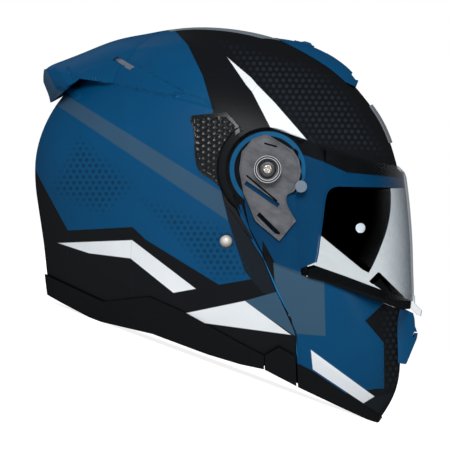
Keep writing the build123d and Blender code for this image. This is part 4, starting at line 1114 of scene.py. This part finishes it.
crown_lines = [lambda p: np.abs(p[:, 1]) - 0.034, lambda p: p[:, 0] + 0.03 + 0.25 * np.abs(p[:, 1]),
               lambda p: p[:, 0] - 0.03]
cheek_lines = [lambda p: side_view(p)[1] - 268, lambda p: side_view(p)[0] - 292]
neck_lines = [lambda p: side_view(p)[0] - 150, lambda p: side_view(p)[0] - 100]
blown_pad("crown_pad", lining_grey, seams=channels(crown_lines))
for side in ("right", "left"):
    blown_pad("cheek_pad_" + side, lining, voxel=0.004, seams=channels(cheek_lines))
blown_pad("neck_roll", lining, voxel=0.004, seams=channels(neck_lines))

# %% [markdown]
# ## Chin strap
# Each half of the strap is 22 mm webbing from its rivet down to the buckle. Its section is a flat rounded
# oblong with thicker selvedges, carried along a route across the helmet whose corners are cut smooth.

# %% Webbing along a route
SECTION_POINTS = 48


def webbing_strip(route, wide, wall, middle):
    """An oblong section carried along a (y, up) route: a rounded square, thicker near both selvedges."""
    angle = np.linspace(0, 2 * math.pi, SECTION_POINTS, endpoint=False)
    across = np.sign(np.cos(angle)) * np.abs(np.cos(angle)) ** 0.35 * wide / 2
    thick = np.sign(np.sin(angle)) * np.abs(np.sin(angle)) ** 0.6 * wall / 2
    thick *= 0.86 + 0.14 * smooth_step(np.abs(across) - wide * 0.42, wide * 0.06)
    lead = np.gradient(route, axis=0)
    lead /= np.linalg.norm(lead, axis=1, keepdims=True)
    square = np.stack([-lead[:, 1], lead[:, 0]], 1)
    y = route[:, :1] + square[:, :1] * thick
    up = route[:, 1:] + square[:, 1:] * thick
    along = np.broadcast_to(middle + across, y.shape)
    x = HINGE[0] + along * cosine - up * sine
    z = HINGE[1] + along * sine + up * cosine
    return np.stack([x, y, z], 2).reshape(-1, 3), grid_faces(len(route), len(angle))


STRAP_MIDDLE = -0.0333904
STRAP_WIDE, STRAP_WALL, STRAP_STEP = 0.022, 0.0019, 0.0012
STRAP_ROUTE = [(0.1142, -0.0525), (0.1081, -0.1082), (0.0994, -0.1263), (0.0559, -0.1437)]
STRAP_LOW = -0.1466
for name, side, end in (("right", -1, -0.0313), ("left", 1, 0.0033)):
    line = [(side * y, up) for y, up in STRAP_ROUTE] + [(end, STRAP_LOW)]
    route, length = even_steps(corners_cut(line, 0.2), STRAP_STEP)
    points, faces = webbing_strip(route, STRAP_WIDE, STRAP_WALL, STRAP_MIDDLE)
    faces = faces if side < 0 else faces[:, ::-1]
    band = piece("webbing_strap_" + name, points, faces, nodes["chin_strap_" + name]["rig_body"], webbing, 50)
    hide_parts("chin_strap_" + name)
    print(f"strap {name}: {length * 1000:.0f} mm of webbing")

# %% [markdown]
# ## The nodes that stay
# The small metal parts, the grilles, the buckle and the hidden parts keep the meshes of their solids.
# Each takes the finish of its slot in the part's record, and the two strap rivets get a steel dome with
# a painted highlight on its crown and painted shade towards its rim.

# %% Finishes for the nodes that stay
KEPT = {
    "steel": steel, "chrome": chrome, "plate_grey": plate_grey, "gloss_black": gloss_black,
    "black_trim": black_trim, "slate_plastic": slate_plastic, "buckle_red": buckle_red,
    "clear_visor": clear_knob, "rubber": seal_rubber, "foam": bead_foam, "shell_paint": shell_paint,
    "mesh": dark_frame, "webbing": webbing, "lining": lining, "tinted_visor": dark_sheet,
}
slots = {part["node"]: part["material_slot"] for part in frame["record"]["subparts"]}
for name, node in nodes.items():
    if not node.hide_render:
        node.data.materials.clear()
        node.data.materials.append(KEPT[slots[name]])
# The rivets' finish carries a painted highlight and painted shade.
for side in ("right", "left"):
    nodes["strap_rivet_" + side].data.materials[0] = rivet_steel
print("kept nodes:", sum(not node.hide_render for node in nodes.values()))
